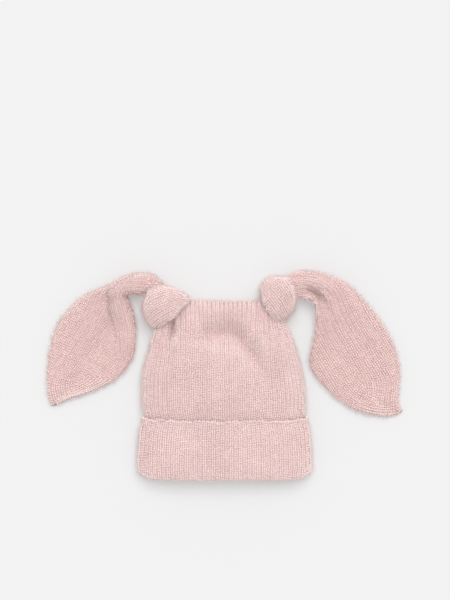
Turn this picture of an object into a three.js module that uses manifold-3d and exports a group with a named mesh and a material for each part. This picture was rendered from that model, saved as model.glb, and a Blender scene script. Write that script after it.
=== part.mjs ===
// A baby's ribbed knit hat with two long ears, lying on its back as it would on a table.
// The crown is a flattened knitted tube, closed along its top edge and open at the mouth. The mouth's
// end is turned up into a deep cuff. Each top corner is drawn together and passes through a knot,
// and a long leaf-shaped ear comes out of the knot's far side and droops to the table.
// Millimetres. X runs across the hat, Y from the mouth to the top edge, Z up from the table. The
// origin is on the table, under the middle of the hat.
import * as THREE from "three";
import { mergeVertices } from "three/addons/utils/BufferGeometryUtils.js";
import Module from "manifold-3d";

const wasm = await Module();
wasm.setup();

// Driving sizes of the hat's body.
const HAT_LENGTH = 177.2; // the cuff's bottom fold to the top edge
const CROWN_WIDTH = 164; // flat width above the cuff
const CROWN_LOFT = 29; // how high the lying crown stands at its fullest
const CUFF_HEIGHT = 58.5;
const KNIT_WALL = 2.6; // one layer of knit
const RIB_PITCH = 4.2; // one rib with its groove
const RIB_HEIGHT = 0.7;
const CLEARANCE = 0.4; // between pieces that touch on the real hat
const HEM_CORNER = 7; // how far the mouth's two corners round upwards
const HEM_SQUARENESS = 16; // how late along the hem that rounding begins

// Driving sizes of the knots and of what passes through them.
const KNOT_HEIGHT = 30;
const THROAT_WIDTH = 21; // the drawn-together cloth inside a knot
const THROAT_HEIGHT = 14.6;

// Driving sizes of the ears.
const EAR_THICKNESS = 7; // two layers of knit, lying on each other

const half = (size) => size / 2;
const mix = (from, to, share) => from + (to - from) * share;
const clamp = (value) => Math.min(Math.max(value, 0), 1);
const ease = (share) => clamp(share) ** 2 * (3 - 2 * clamp(share));
const degrees = Math.PI / 180;

// What follows from the driving sizes.
const CUFF_COVER = KNIT_WALL + RIB_HEIGHT + CLEARANCE; // the crown's surface to the cuff's outside
const RIM_Y = -half(HAT_LENGTH) + KNIT_WALL + CLEARANCE; // the crown's cut edge, inside the cuff's fold
const CROWN_LENGTH = half(HAT_LENGTH) - RIM_Y;
const CUFF_TOP = (CUFF_HEIGHT - KNIT_WALL - CLEARANCE) / CROWN_LENGTH; // a share of the crown's length
const RIBS_ACROSS = 2 * Math.round(CROWN_WIDTH / RIB_PITCH / 2); // on one face of the flat tube
const COLUMNS = 4 * RIBS_ACROSS; // a ridge and a groove for each rib, on both faces

// The crown's outline. up is a share of its length from the rim to the top edge, left and right are
// shares of half its width, and over is its height off the table as a share of its loft.
const CROWN_ROWS = [
  { up: 0.0, left: 1.008, right: 1.008, over: 0.7 },
  { up: 0.06, left: 1.016, right: 1.016, over: 0.75 },
  { up: 0.15, left: 1.01, right: 1.01, over: 0.77 },
  { up: 0.25, left: 0.992, right: 0.992, over: 0.79 },
  { up: 0.32, left: 0.958, right: 0.958, over: 0.8 },
  { up: 0.37, left: 0.992, right: 0.98, over: 0.88 },
  { up: 0.45, left: 1.006, right: 0.983, over: 0.97 },
  { up: 0.6, left: 1.0, right: 0.945, over: 1.0 },
  { up: 0.7, left: 0.975, right: 0.935, over: 0.97 },
  { up: 0.8, left: 0.97, right: 0.92, over: 0.88 },
  { up: 0.88, left: 0.88, right: 0.8, over: 0.78 },
  { up: 0.95, left: 0.8, right: 0.69, over: 0.72 },
  { up: 1.0, left: 0.8, right: 0.69, over: 0.68 },
];

// Soft dents in the crown's and the cuff's front; a bump has a negative depth. x and y are shares of
// the crown's width and the hat's length from the middle, wide and tall are half sizes as shares of
// the same, turn is in degrees, and deep is a share of the crown's loft.
const FRONT_DENTS = [
  { x: -0.02, y: 0.305, wide: 0.135, tall: 0.066, turn: 0, deep: 0.34 },
  { x: 0.132, y: 0.23, wide: 0.13, tall: 0.052, turn: -54, deep: 0.29 },
  { x: 0.225, y: 0.12, wide: 0.14, tall: 0.05, turn: -62, deep: 0.09 },
  { x: -0.322, y: 0.345, wide: 0.026, tall: 0.06, turn: -8, deep: 0.5 },
  { x: -0.365, y: 0.25, wide: 0.025, tall: 0.06, turn: -8, deep: 0.06 },
  { x: -0.12, y: 0.31, wide: 0.022, tall: 0.055, turn: 4, deep: 0.07 },
  { x: -0.25, y: 0.03, wide: 0.09, tall: 0.1, turn: 0, deep: 0.06 },
  { x: -0.225, y: 0.37, wide: 0.045, tall: 0.06, turn: 0, deep: -0.12 },
  { x: 0.395, y: 0.17, wide: 0.06, tall: 0.11, turn: 12, deep: -0.06 },
  { x: -0.02, y: -0.11, wide: 0.11, tall: 0.13, turn: 0, deep: -0.05 },
  { x: -0.2, y: -0.26, wide: 0.09, tall: 0.05, turn: 0, deep: 0.05 },
];

// The knots. x and y place the middle as shares of half the crown's width and of half the hat's
// length. turn is the way the neck runs through it, length is across the neck and width along it. The
// rows give the edge near the crown and the far edge as shares of half the width, from the outer end
// at -1 to the end over the top edge at 1.
const LEFT_KNOT = {
  x: -0.73,
  y: 0.967,
  turn: 117,
  length: 48,
  width: 33,
  rows: [
    { end: -1.0, near: -1.09, far: 0.61 },
    { end: -0.7, near: -1.0, far: 1.03 },
    { end: -0.4, near: -0.96, far: 1.18 },
    { end: 0.0, near: -0.93, far: 1.15 },
    { end: 0.4, near: -0.87, far: 1.03 },
    { end: 0.7, near: -0.75, far: 0.79 },
    { end: 1.0, near: -0.67, far: 0.09 },
  ],
};
const RIGHT_KNOT = {
  x: 0.655,
  y: 1.055,
  turn: 47,
  length: 41,
  width: 35,
  rows: [
    { end: -1.0, near: -1.09, far: 0.42 },
    { end: -0.7, near: -1.07, far: 0.7 },
    { end: -0.3, near: -1.02, far: 0.94 },
    { end: 0.0, near: -0.97, far: 1.05 },
    { end: 0.4, near: -0.87, far: 1.09 },
    { end: 0.7, near: -0.74, far: 0.94 },
    { end: 1.0, near: -0.49, far: 0.69 },
  ],
};

// Reads a column of a table at a place between its rows, along a smooth curve.
function read(table, key, column, place) {
  const last = table.length - 1;
  let row = 0;
  while (row < last - 1 && place > table[row + 1][key]) row += 1;
  const slope = (at) => {
    const from = table[Math.max(at - 1, 0)];
    const to = table[Math.min(at + 1, last)];
    return (to[column] - from[column]) / (to[key] - from[key]);
  };
  const span = table[row + 1][key] - table[row][key];
  const s = clamp((place - table[row][key]) / span);
  return (
    (1 + 2 * s) * (1 - s) ** 2 * table[row][column] +
    s * (1 - s) ** 2 * span * slope(row) +
    s * s * (3 - 2 * s) * table[row + 1][column] +
    s * s * (s - 1) * span * slope(row + 1)
  );
}

// A knot's own axes in plan: along runs with the neck, away from the crown, and across runs towards
// the top edge's side.
function knotFrame(knot) {
  const along = new THREE.Vector2(Math.cos(knot.turn * degrees), Math.sin(knot.turn * degrees));
  const towardsTop = knot.x < 0 ? -1 : 1;
  const across = new THREE.Vector2(-along.y, along.x).multiplyScalar(towardsTop);
  const middle = new THREE.Vector2(knot.x * half(CROWN_WIDTH), knot.y * half(HAT_LENGTH));
  const place = (acrossBy, alongBy) =>
    middle.clone().addScaledVector(across, acrossBy).addScaledVector(along, alongBy);
  return { middle, along, across, place };
}

const leftKnot = knotFrame(LEFT_KNOT);
const rightKnot = knotFrame(RIGHT_KNOT);

// The crown's closed top, from the left corner's tip to the right corner's: where the column at each
// share of the width ends. Each corner's tip lies across the middle of its knot.
function topRow(across, point) {
  return { across, x: point.x, y: point.y };
}
const tipReach = half(THROAT_WIDTH) - RIB_HEIGHT;
const tipEnd = -(CLEARANCE + RIB_HEIGHT);
const edgeY = half(HAT_LENGTH);
const TOP_ROWS = [
  topRow(-1, leftKnot.place(-tipReach, tipEnd)),
  topRow(-0.64, leftKnot.place(tipReach, tipEnd)),
  topRow(-0.57, leftKnot.place(tipReach, -half(LEFT_KNOT.width) * 0.5)),
  topRow(-0.47, leftKnot.place(half(LEFT_KNOT.length) * 0.85, -half(LEFT_KNOT.width) * 0.52)),
  topRow(-0.4, { x: -0.195 * CROWN_WIDTH, y: edgeY + 0.8 }),
  topRow(-0.2, { x: -0.1 * CROWN_WIDTH, y: edgeY + 0.6 }),
  topRow(0.05, { x: 0.02 * CROWN_WIDTH, y: edgeY }),
  topRow(0.34, { x: 0.172 * CROWN_WIDTH, y: edgeY + 0.4 }),
  topRow(0.44, rightKnot.place(tipReach * 1.1, -half(RIGHT_KNOT.width) * 0.7)),
  topRow(0.55, rightKnot.place(tipReach, -half(RIGHT_KNOT.width) * 0.4)),
  topRow(0.62, rightKnot.place(tipReach, tipEnd)),
  topRow(1, rightKnot.place(-tipReach, tipEnd)),
];

// The flat tube's section, walked at even steps: across is the place over the width, and lift is how
// far the cloth has turned up over the front, or down under the back, as a share of its full height.
const FRONT_ROUNDNESS = 3.2;
const BACK_ROUNDNESS = 10;
const BACK_FLATTENING = 1.03;
const SIDE_FOLD = 0.36; // the height of the side folds, as a share of the height there

const frontLift = (across) => Math.sqrt(1 - Math.abs(across) ** FRONT_ROUNDNESS);
const backLift = (across) =>
  Math.min(1, BACK_FLATTENING * Math.sqrt(1 - Math.abs(across) ** BACK_ROUNDNESS));

function evenSteps(lift, height, steps) {
  const fine = 2000;
  const walk = Array.from({ length: fine + 1 }, (_, i) => -Math.cos((Math.PI * i) / fine));
  const lengths = [0];
  for (let i = 1; i <= fine; i += 1) {
    const run = (walk[i] - walk[i - 1]) * half(CROWN_WIDTH);
    const rise = (lift(walk[i]) - lift(walk[i - 1])) * height;
    lengths.push(lengths[i - 1] + Math.hypot(run, rise));
  }
  let at = 0;
  return Array.from({ length: steps }, (_, step) => {
    const wanted = (lengths[fine] * step) / steps;
    while (lengths[at + 1] < wanted) at += 1;
    const share = (wanted - lengths[at]) / (lengths[at + 1] - lengths[at]);
    return step === 0 ? -1 : mix(walk[at], walk[at + 1], share);
  });
}

function sectionColumns() {
  const front = evenSteps(frontLift, CROWN_LOFT * (1 - SIDE_FOLD), half(COLUMNS));
  const back = evenSteps(backLift, CROWN_LOFT * SIDE_FOLD, half(COLUMNS));
  return [
    ...front.map((across) => ({ across, lift: frontLift(across), front: true })),
    ...back.map((across) => ({ across: -across, lift: backLift(across), front: false })),
  ];
}

const SECTION = sectionColumns();

// How deep the front is pushed in at a point of the plan.
function dentDepth(x, y) {
  return FRONT_DENTS.reduce((sum, dent) => {
    const dx = x - dent.x * CROWN_WIDTH;
    const dy = y - dent.y * HAT_LENGTH;
    const turn = dent.turn * degrees;
    const u = (dx * Math.cos(turn) + dy * Math.sin(turn)) / (dent.wide * CROWN_WIDTH);
    const v = (dy * Math.cos(turn) - dx * Math.sin(turn)) / (dent.tall * HAT_LENGTH);
    return sum + dent.deep * CROWN_LOFT * Math.exp(-u * u - v * v);
  }, 0);
}

const GATHER_START = 0.55; // the share of the length where the columns begin to lean to their ends
const BACK_DROP = 0.055; // the share over which the back drops from the cuff's edge to the table
const LIFT_START = 0.72; // where the corners begin to lift off the table towards the knots
const LIFT_END = 0.87; // and where they are as high as the knots' middles
const CORNER_START = 0.4; // the share of half the width where the lifted corners begin
const CORNER_END = 0.6; // and where they are lifted in full
const CORNER_DENTS = 0.5; // the share of a dent's depth that is left in a lifted corner
const CUFF_EDGE_RISE = 3; // how much higher the cuff's edge runs at the sides than at the middle

// One point of the crown's plain surface, before its ribs. v is the share of the way from the rim to
// the column's end, and open falls to 0 where the front and the back meet at the top.
function crownPoint(column, v, open) {
  const { across, lift, front } = column;
  const gather = ease((v - GATHER_START) / (1 - GATHER_START));
  const endX = read(TOP_ROWS, "across", "x", across);
  const endY = read(TOP_ROWS, "across", "y", across);
  const overCuff = v - CUFF_TOP;
  const hem = HEM_CORNER * Math.abs(across) ** HEM_SQUARENESS * (1 - ease(v / CUFF_TOP));
  const rise = CUFF_EDGE_RISE * across ** 4 * (1 - ease(Math.abs(overCuff) / CUFF_TOP));
  const y = mix(RIM_Y + hem + rise + v * CROWN_LENGTH, mix(RIM_Y, endY, v), gather);
  const up = Math.min((y - RIM_Y) / CROWN_LENGTH, 1);
  const side = across < 0 ? "left" : "right";
  const x = mix(across * half(CROWN_WIDTH) * read(CROWN_ROWS, "up", side, up), endX, gather);

  const sideways = (Math.abs(across) - CORNER_START) / (CORNER_END - CORNER_START);
  const corner = ease((v - LIFT_START) / (LIFT_END - LIFT_START)) * ease(sideways);
  const throatUnder = half(KNOT_HEIGHT) - half(THROAT_HEIGHT) + CLEARANCE;
  const throatOver = half(KNOT_HEIGHT) + half(THROAT_HEIGHT) - CLEARANCE;
  const bodyUnder = CUFF_COVER * (1 - ease(overCuff / BACK_DROP));
  const under = mix(bodyUnder, throatUnder, corner);
  const over = mix(read(CROWN_ROWS, "up", "over", up) * CROWN_LOFT, throatOver, corner);
  const fold = mix(under, over, mix(SIDE_FOLD, 0.5, corner));
  const dent = front ? dentDepth(x, y) * mix(1, CORNER_DENTS, corner) : 0;
  const reach = front ? over - dent - fold : under - fold;
  return new THREE.Vector3(x, y, fold + reach * lift * open);
}

// The crown's rows: shares of the way up, then the turn of the closed top in degrees.
const CROWN_STEPS = [0, half(CUFF_TOP), CUFF_TOP, 0.375, 0.48, 0.59, 0.7, 0.79, 0.87];
const TOP_TURNS = [25, 52, 90];
const TOP_START = 0.94;
const rowsOf = (steps, turns) => [
  ...steps.map((v) => ({ v, open: 1 })),
  ...turns.map((turn) => ({
    v: mix(TOP_START, 1, Math.sin(turn * degrees)),
    open: turn === 90 ? 0 : Math.cos(turn * degrees),
  })),
];

// An indexed mesh from points and triangles.
function meshOf(points, triangles) {
  const geometry = new THREE.BufferGeometry();
  const flat = points.flatMap((p) => [p.x, p.y, p.z]);
  geometry.setAttribute("position", new THREE.Float32BufferAttribute(flat, 3));
  geometry.setIndex(triangles.flat());
  return geometry;
}

function normalsOf(points, triangles) {
  const geometry = meshOf(points, triangles);
  geometry.computeVertexNormals();
  const normals = geometry.getAttribute("normal");
  return points.map((_, i) => new THREE.Vector3().fromBufferAttribute(normals, i));
}

// The two triangles between two neighbouring points of one row and of the next.
const quad = (a, b, c, d) => [[a, b, c], [a, c, d]];

// A bag's skin: rows of columns around it, whose last row is flat and joins front to back.
function bagSkin(columns, rows, pointAt) {
  const count = columns.length;
  const points = rows.flatMap((row) => columns.map((column) => pointAt(column, row.v, row.open)));
  const index = (row, column) => {
    const around = column % count;
    const folded = row === rows.length - 1 && around > count / 2 ? count - around : around;
    return row * count + folded;
  };
  const triangles = [];
  for (let row = 0; row < rows.length - 1; row += 1) {
    for (let column = 0; column < count; column += 1) {
      const next = column + 1;
      triangles.push(
        ...quad(index(row, column), index(row, next), index(row + 1, next), index(row + 1, column)),
      );
    }
  }
  return { points, triangles: triangles.filter(([a, b, c]) => a !== b && b !== c && a !== c), index };
}

// Ribs are pressed flat where the cloth lies on the table, and stand in full from a little higher.
const FLAT_RIBS_Z = 1;
const FULL_RIBS_Z = 6;
const ribHeight = (column, z) =>
  column % 2 ? 0 : RIB_HEIGHT * ease((z - FLAT_RIBS_Z) / (FULL_RIBS_Z - FLAT_RIBS_Z));

const crownSkin = bagSkin(SECTION, rowsOf(CROWN_STEPS, TOP_TURNS), crownPoint);
const crownNormals = normalsOf(crownSkin.points, crownSkin.triangles);
const raiseCrown = (extra) =>
  crownSkin.points.map((point, i) => {
    const height = ribHeight(i % COLUMNS, point.z) + extra;
    return point.clone().addScaledVector(crownNormals[i], height);
  });

function crownGeometry() {
  // The inside needs only every other column, and fewer rows.
  const innerColumns = SECTION.filter((_, i) => i % 2 === 0);
  const innerSteps = CROWN_STEPS.filter((_, i) => i % 2 === 0);
  const inner = bagSkin(innerColumns, rowsOf(innerSteps, [45, 90]), crownPoint);
  const innerNormals = normalsOf(inner.points, inner.triangles);
  const inside = inner.points.map((point, i) =>
    point.clone().addScaledVector(innerNormals[i], -KNIT_WALL),
  );

  const start = crownSkin.points.length;
  const rim = innerColumns.flatMap((_, i) => {
    const [a, b, c] = [2 * i, 2 * i + 1, (2 * i + 2) % COLUMNS];
    const [p, q] = [start + i, start + ((i + 1) % innerColumns.length)];
    return [[b, a, p], [b, p, q], [c, b, q]];
  });
  const turned = inner.triangles.map(([a, b, c]) => [start + a, start + c, start + b]);
  return meshOf([...raiseCrown(0), ...inside], [...crownSkin.triangles, ...turned, ...rim]);
}

// The cuff's section, walked once round. up is the place along the crown, from 0 at its rim to 1 at
// the cuff's free edge, out is the distance from the crown's surface, and down is a further length
// past the rim. It goes down inside, under the crown's rim, round the fold and up outside.
const cuffInside = RIB_HEIGHT + CLEARANCE;
const CUFF_SECTION = [
  { up: 1, out: cuffInside, down: 0, rib: 0 },
  { up: 0.5, out: cuffInside, down: 0, rib: 0 },
  { up: 0, out: cuffInside, down: CLEARANCE, rib: 0 },
  { up: 0, out: -KNIT_WALL, down: CLEARANCE, rib: 0 },
  { up: 0, out: -half(KNIT_WALL), down: CLEARANCE + KNIT_WALL, rib: 0.5 },
  { up: 0, out: CUFF_COVER * 0.8, down: CLEARANCE + KNIT_WALL * 0.8, rib: 1 },
  { up: 0.05, out: CUFF_COVER, down: 0, rib: 1 },
  { up: 0.5, out: CUFF_COVER, down: 0, rib: 1 },
  { up: 0.98, out: CUFF_COVER, down: 0, rib: 1 },
];

function cuffGeometry() {
  // The crown's rows at its rim, at the middle of the cuff and at the cuff's edge give the way out.
  const outward = (i, up) => {
    const row = up < 0.5 ? 0 : 1;
    const [low, high] = [row, row + 1].map((at) => crownNormals[at * COLUMNS + i]);
    return low.clone().lerp(high, 2 * up - row).normalize();
  };
  const points = CUFF_SECTION.flatMap(({ up, out, down, rib }) =>
    SECTION.map((column, i) => {
      const point = crownPoint(column, up * CUFF_TOP, 1);
      const direction = outward(i, up);
      const height = out + ribHeight(i, point.z + out * direction.z) * rib;
      point.addScaledVector(direction, height);
      point.y -= down;
      return point;
    }),
  );
  const rowCount = CUFF_SECTION.length;
  const triangles = [];
  for (let row = 0; row < rowCount; row += 1) {
    for (let column = 0; column < COLUMNS; column += 1) {
      const next = (column + 1) % COLUMNS;
      const above = (row + 1) % rowCount;
      triangles.push(
        ...quad(
          row * COLUMNS + column,
          row * COLUMNS + next,
          above * COLUMNS + next,
          above * COLUMNS + column,
        ),
      );
    }
  }
  return meshOf(points, triangles);
}

// The crown's outside as one closed plug, larger all round by a gap.
function crownPlug(gap) {
  const points = raiseCrown(gap);
  const middle = new THREE.Vector3();
  points.slice(0, COLUMNS).forEach((point) => middle.add(point));
  points.push(middle.divideScalar(COLUMNS));
  const mouth = SECTION.map((_, i) => [points.length - 1, (i + 1) % COLUMNS, i]);
  return meshOf(points, [...crownSkin.triangles, ...mouth]);
}

// A closed mesh as a solid that can be cut, and a cut solid as a mesh again.
const SAME_POINT = 1e-4; // points nearer than this are one

function solidOf(geometry) {
  const merged = mergeVertices(geometry, SAME_POINT);
  const vertProperties = merged.getAttribute("position").array;
  const triVerts = new Uint32Array(merged.index.array);
  return new wasm.Manifold(new wasm.Mesh({ numProp: 3, vertProperties, triVerts }));
}

function geometryOf(solid) {
  const { vertProperties, triVerts } = solid.getMesh();
  const geometry = new THREE.BufferGeometry();
  geometry.setAttribute("position", new THREE.BufferAttribute(vertProperties, 3));
  geometry.setIndex(new THREE.BufferAttribute(triVerts, 1));
  return geometry;
}

// A knot is one soft turn of the ear round its own neck: a fat band, closed into a ring. Each of its
// sections is flat towards the neck and swells outwards, and is walked once round, in degrees.
const KNOT_STEPS = 22;
const BAND_TURNS = [-90, -62, -30, 0, 30, 62, 90, 180];
const BAND_STEPS = BAND_TURNS.length;
const BAND_FULLNESS = 0.6; // the lower, the fuller the band's shoulders

function knotBand(knot, frame) {
  const holeAcross = half(THROAT_WIDTH) + RIB_HEIGHT + CLEARANCE;
  const holeUp = half(THROAT_HEIGHT) + RIB_HEIGHT + CLEARANCE;
  const points = [];
  for (let i = 0; i < KNOT_STEPS; i += 1) {
    const turn = (2 * Math.PI * i) / KNOT_STEPS;
    const [c, s] = [Math.cos(turn), Math.sin(turn)];
    const near = half(knot.width) * read(knot.rows, "end", "near", c);
    const far = half(knot.width) * read(knot.rows, "end", "far", c);
    BAND_TURNS.forEach((bandTurn) => {
      const around = bandTurn * degrees;
      const outward = Math.max(Math.cos(around), 0) ** BAND_FULLNESS;
      const acrossBy = c * mix(holeAcross, half(knot.length), outward);
      const upBy = s * mix(holeUp, half(KNOT_HEIGHT), outward);
      const alongBy = mix(near, far, half(1 + Math.sin(around)));
      const plan = frame.place(acrossBy, alongBy);
      points.push(new THREE.Vector3(plan.x, plan.y, half(KNOT_HEIGHT) + upBy));
    });
  }
  const triangles = [];
  const towards = knot.x < 0 ? -1 : 1;
  for (let i = 0; i < KNOT_STEPS; i += 1) {
    for (let j = 0; j < BAND_STEPS; j += 1) {
      const [k, m] = [(i + 1) % KNOT_STEPS, (j + 1) % BAND_STEPS];
      const face = quad(
        i * BAND_STEPS + j,
        k * BAND_STEPS + j,
        k * BAND_STEPS + m,
        i * BAND_STEPS + m,
      );
      triangles.push(...face.map(([a, b, d]) => (towards > 0 ? [a, b, d] : [a, d, b])));
    }
  }
  return meshOf(points, triangles);
}

// The ears' sections, from the middle of the knot to the tip. Each section runs from the inner edge,
// which faces the crown, to the outer edge. in and out are shares of the ear's swing sideways and of
// its drop, from the knot's middle. rise is 1 in the neck, at the height of the knot, and 0 where
// the leaf lies on the table. thick is a share of the leaf's thickness. roll is the share of the
// width where the cloth's edge is rolled over the front, and crest its height like rise. Below 0 it
// is a soft hollow there. pleat is the depth of the pleats that fan out along the inner side, as a
// share of the leaf's thickness.
const LEFT_EAR = {
  swing: 118.8,
  drop: 102.6,
  rows: [
    { at: 0.0, inX: 0.079, inY: 0.046, outX: -0.079, outY: -0.046, rise: 1, thick: 1, roll: 0.4, crest: 0, pleat: 0 },
    { at: 0.07, inX: 0.113, inY: -0.032, outX: -0.045, outY: -0.124, rise: 1, thick: 1, roll: 0.4, crest: 0, pleat: 0 },
    { at: 0.13, inX: 0.136, inY: -0.105, outX: 0.004, outY: -0.186, rise: 1.02, thick: 1, roll: 0.4, crest: 0, pleat: 0 },
    { at: 0.19, inX: 0.2, inY: -0.104, outX: 0.1, outY: -0.295, rise: 1.04, thick: 1, roll: 0.7, crest: 0, pleat: 0 },
    { at: 0.25, inX: 0.285, inY: -0.1, outX: 0.245, outY: -0.298, rise: 1, thick: 1, roll: 0.88, crest: 0.06, pleat: 0 },
    { at: 0.31, inX: 0.328, inY: -0.098, outX: 0.37, outY: -0.255, rise: 0.85, thick: 1.05, roll: 0.86, crest: 0.26, pleat: 0.02 },
    { at: 0.36, inX: 0.327, inY: -0.08, outX: 0.52, outY: -0.165, rise: 0.5, thick: 1.1, roll: 0.7, crest: 0.55, pleat: 0.05 },
    { at: 0.42, inX: 0.31, inY: -0.035, outX: 0.68, outY: -0.085, rise: 0.22, thick: 1.15, roll: 0.42, crest: 0.62, pleat: 0.06 },
    { at: 0.48, inX: 0.282, inY: 0.045, outX: 0.82, outY: 0.055, rise: 0.08, thick: 1.15, roll: 0.34, crest: 0.58, pleat: 0.06 },
    { at: 0.54, inX: 0.256, inY: 0.16, outX: 0.915, outY: 0.195, rise: 0.02, thick: 1.1, roll: 0.27, crest: 0.47, pleat: 0.05 },
    { at: 0.61, inX: 0.252, inY: 0.31, outX: 0.965, outY: 0.37, rise: 0, thick: 1.05, roll: 0.22, crest: 0.33, pleat: 0.03 },
    { at: 0.68, inX: 0.27, inY: 0.48, outX: 0.99, outY: 0.525, rise: 0, thick: 1, roll: 0.18, crest: 0.16, pleat: 0.02 },
    { at: 0.75, inX: 0.318, inY: 0.62, outX: 1.0, outY: 0.645, rise: 0, thick: 1, roll: 0.16, crest: 0.04, pleat: 0 },
    { at: 0.82, inX: 0.42, inY: 0.735, outX: 0.998, outY: 0.755, rise: 0, thick: 1, roll: 0.16, crest: 0, pleat: 0 },
    { at: 0.89, inX: 0.61, inY: 0.84, outX: 0.99, outY: 0.865, rise: 0, thick: 0.95, roll: 0.2, crest: 0, pleat: 0 },
    { at: 0.95, inX: 0.8, inY: 0.91, outX: 0.975, outY: 0.942, rise: 0, thick: 0.85, roll: 0.3, crest: 0, pleat: 0 },
    { at: 1.0, inX: 0.938, inY: 0.99, outX: 0.955, outY: 0.998, rise: 0, thick: 0.5, roll: 0.4, crest: 0, pleat: 0 },
  ],
};
const RIGHT_EAR = {
  swing: 125.9,
  drop: 119.4,
  rows: [
    { at: 0.0, inX: 0.063, inY: 0.058, outX: -0.063, outY: -0.058, rise: 1, thick: 1, roll: 0.4, crest: 0, pleat: 0 },
    { at: 0.07, inX: 0.118, inY: 0.02, outX: -0.005, outY: -0.114, rise: 1, thick: 1, roll: 0.4, crest: 0, pleat: 0 },
    { at: 0.13, inX: 0.172, inY: 0.005, outX: 0.06, outY: -0.162, rise: 1.03, thick: 1, roll: 0.5, crest: -0.05, pleat: 0.02 },
    { at: 0.19, inX: 0.218, inY: 0.018, outX: 0.165, outY: -0.212, rise: 1.06, thick: 1, roll: 0.58, crest: -0.25, pleat: 0.04 },
    { at: 0.25, inX: 0.26, inY: 0.036, outX: 0.285, outY: -0.212, rise: 1.02, thick: 1, roll: 0.6, crest: -0.62, pleat: 0.06 },
    { at: 0.31, inX: 0.286, inY: 0.068, outX: 0.42, outY: -0.17, rise: 0.88, thick: 1.1, roll: 0.54, crest: -0.62, pleat: 0.08 },
    { at: 0.37, inX: 0.296, inY: 0.135, outX: 0.545, outY: -0.112, rise: 0.64, thick: 1.2, roll: 0.44, crest: -0.22, pleat: 0.1 },
    { at: 0.43, inX: 0.297, inY: 0.22, outX: 0.645, outY: -0.015, rise: 0.4, thick: 1.25, roll: 0.4, crest: -0.04, pleat: 0.1 },
    { at: 0.5, inX: 0.286, inY: 0.33, outX: 0.745, outY: 0.105, rise: 0.2, thick: 1.2, roll: 0.4, crest: 0, pleat: 0.08 },
    { at: 0.57, inX: 0.26, inY: 0.45, outX: 0.83, outY: 0.225, rise: 0.07, thick: 1.15, roll: 0.4, crest: 0, pleat: 0.05 },
    { at: 0.64, inX: 0.244, inY: 0.545, outX: 0.905, outY: 0.355, rise: 0, thick: 1.1, roll: 0.4, crest: 0, pleat: 0.03 },
    { at: 0.71, inX: 0.278, inY: 0.645, outX: 0.95, outY: 0.49, rise: 0, thick: 1.05, roll: 0.4, crest: 0, pleat: 0 },
    { at: 0.78, inX: 0.36, inY: 0.75, outX: 0.972, outY: 0.61, rise: 0, thick: 1, roll: 0.4, crest: 0, pleat: 0 },
    { at: 0.85, inX: 0.475, inY: 0.86, outX: 0.966, outY: 0.745, rise: 0, thick: 1, roll: 0.4, crest: 0, pleat: 0 },
    { at: 0.91, inX: 0.64, inY: 0.96, outX: 0.951, outY: 0.86, rise: 0, thick: 0.95, roll: 0.4, crest: 0, pleat: 0 },
    { at: 0.96, inX: 0.84, inY: 1.0, outX: 0.965, outY: 0.93, rise: 0, thick: 0.8, roll: 0.4, crest: 0, pleat: 0 },
    { at: 1.0, inX: 0.982, inY: 0.98, outX: 0.992, outY: 0.965, rise: 0, thick: 0.5, roll: 0.4, crest: 0, pleat: 0 },
  ],
};

const EAR_ROWS = 25;
const ROLL_STEPS = 7; // columns over the rolled edge
const LEAF_STEPS = 9; // columns over the rest of the front
const BACK_STEPS = 9; // columns under the back
const NECK_ROUNDNESS = 2;
const LEAF_ROUNDNESS = 7;
const PLEATS = 4.5; // over the whole width, of which the inner part shows
const NECK_FADE = 1.5; // how soon the flat leaf's section becomes the neck's
const PLEATED_SHARE = 0.75;

// The columns round an ear's section: front ones first, from the inner edge to the outer.
const EAR_COLUMNS = [
  ...Array.from({ length: ROLL_STEPS }, (_, i) => ({ front: true, rolled: i / ROLL_STEPS })),
  ...Array.from({ length: LEAF_STEPS }, (_, i) => ({ front: true, plain: i / LEAF_STEPS })),
  ...Array.from({ length: BACK_STEPS }, (_, i) => ({ front: false, share: 1 - i / BACK_STEPS })),
];

// Steps that crowd towards a rounded edge, at the start, at the end or at both.
const crowdStart = (share) => 1 - Math.cos((share * Math.PI) / 2);
const crowdEnd = (share) => Math.sin((share * Math.PI) / 2);

function earPoint(ear, frame, column, at) {
  const get = (name) => read(ear.rows, "at", name, at);
  const side = frame.middle.x < 0 ? -1 : 1;
  const roll = get("roll");
  let share = column.share;
  if (column.rolled !== undefined) share = roll * mix(column.rolled, crowdStart(column.rolled), 0.7);
  if (column.plain !== undefined) share = mix(roll, 1, mix(column.plain, crowdEnd(column.plain), 0.6));
  if (!column.front) share = (1 - Math.cos(Math.PI * share)) / 2;

  const x = frame.middle.x + side * ear.swing * mix(get("inX"), get("outX"), share);
  const y = frame.middle.y - ear.drop * mix(get("inY"), get("outY"), share);
  const rise = get("rise");
  const neckUnder = half(KNOT_HEIGHT) - half(THROAT_HEIGHT) + CLEARANCE;
  const neckOver = half(KNOT_HEIGHT) + half(THROAT_HEIGHT) - CLEARANCE;
  const under = neckUnder * clamp(rise);
  const over = mix(EAR_THICKNESS * get("thick"), neckOver, rise);
  const fold = mix(under, over, 0.5);
  const roundness = mix(LEAF_ROUNDNESS, NECK_ROUNDNESS, clamp(rise * NECK_FADE));
  const lift = Math.sqrt(Math.max(0, 1 - Math.abs(2 * share - 1) ** roundness));
  if (!column.front) return new THREE.Vector3(x, y, fold + (under - fold) * lift);

  const rolled = Math.sqrt(Math.max(0, 1 - ((2 * share) / roll - 1) ** 2));
  const sunken = Math.sin((Math.PI * share) / roll) ** 2;
  const overRoll = get("crest") < 0 ? sunken : rolled;
  const crest = share < roll ? get("crest") * (neckOver - EAR_THICKNESS) * overRoll : 0;
  const pleated = Math.sin(Math.PI * clamp(share / PLEATED_SHARE));
  const pleat = get("pleat") * EAR_THICKNESS * Math.cos(2 * Math.PI * PLEATS * share) * pleated;
  return new THREE.Vector3(x, y, fold + (over - fold) * lift + crest + pleat);
}

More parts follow.
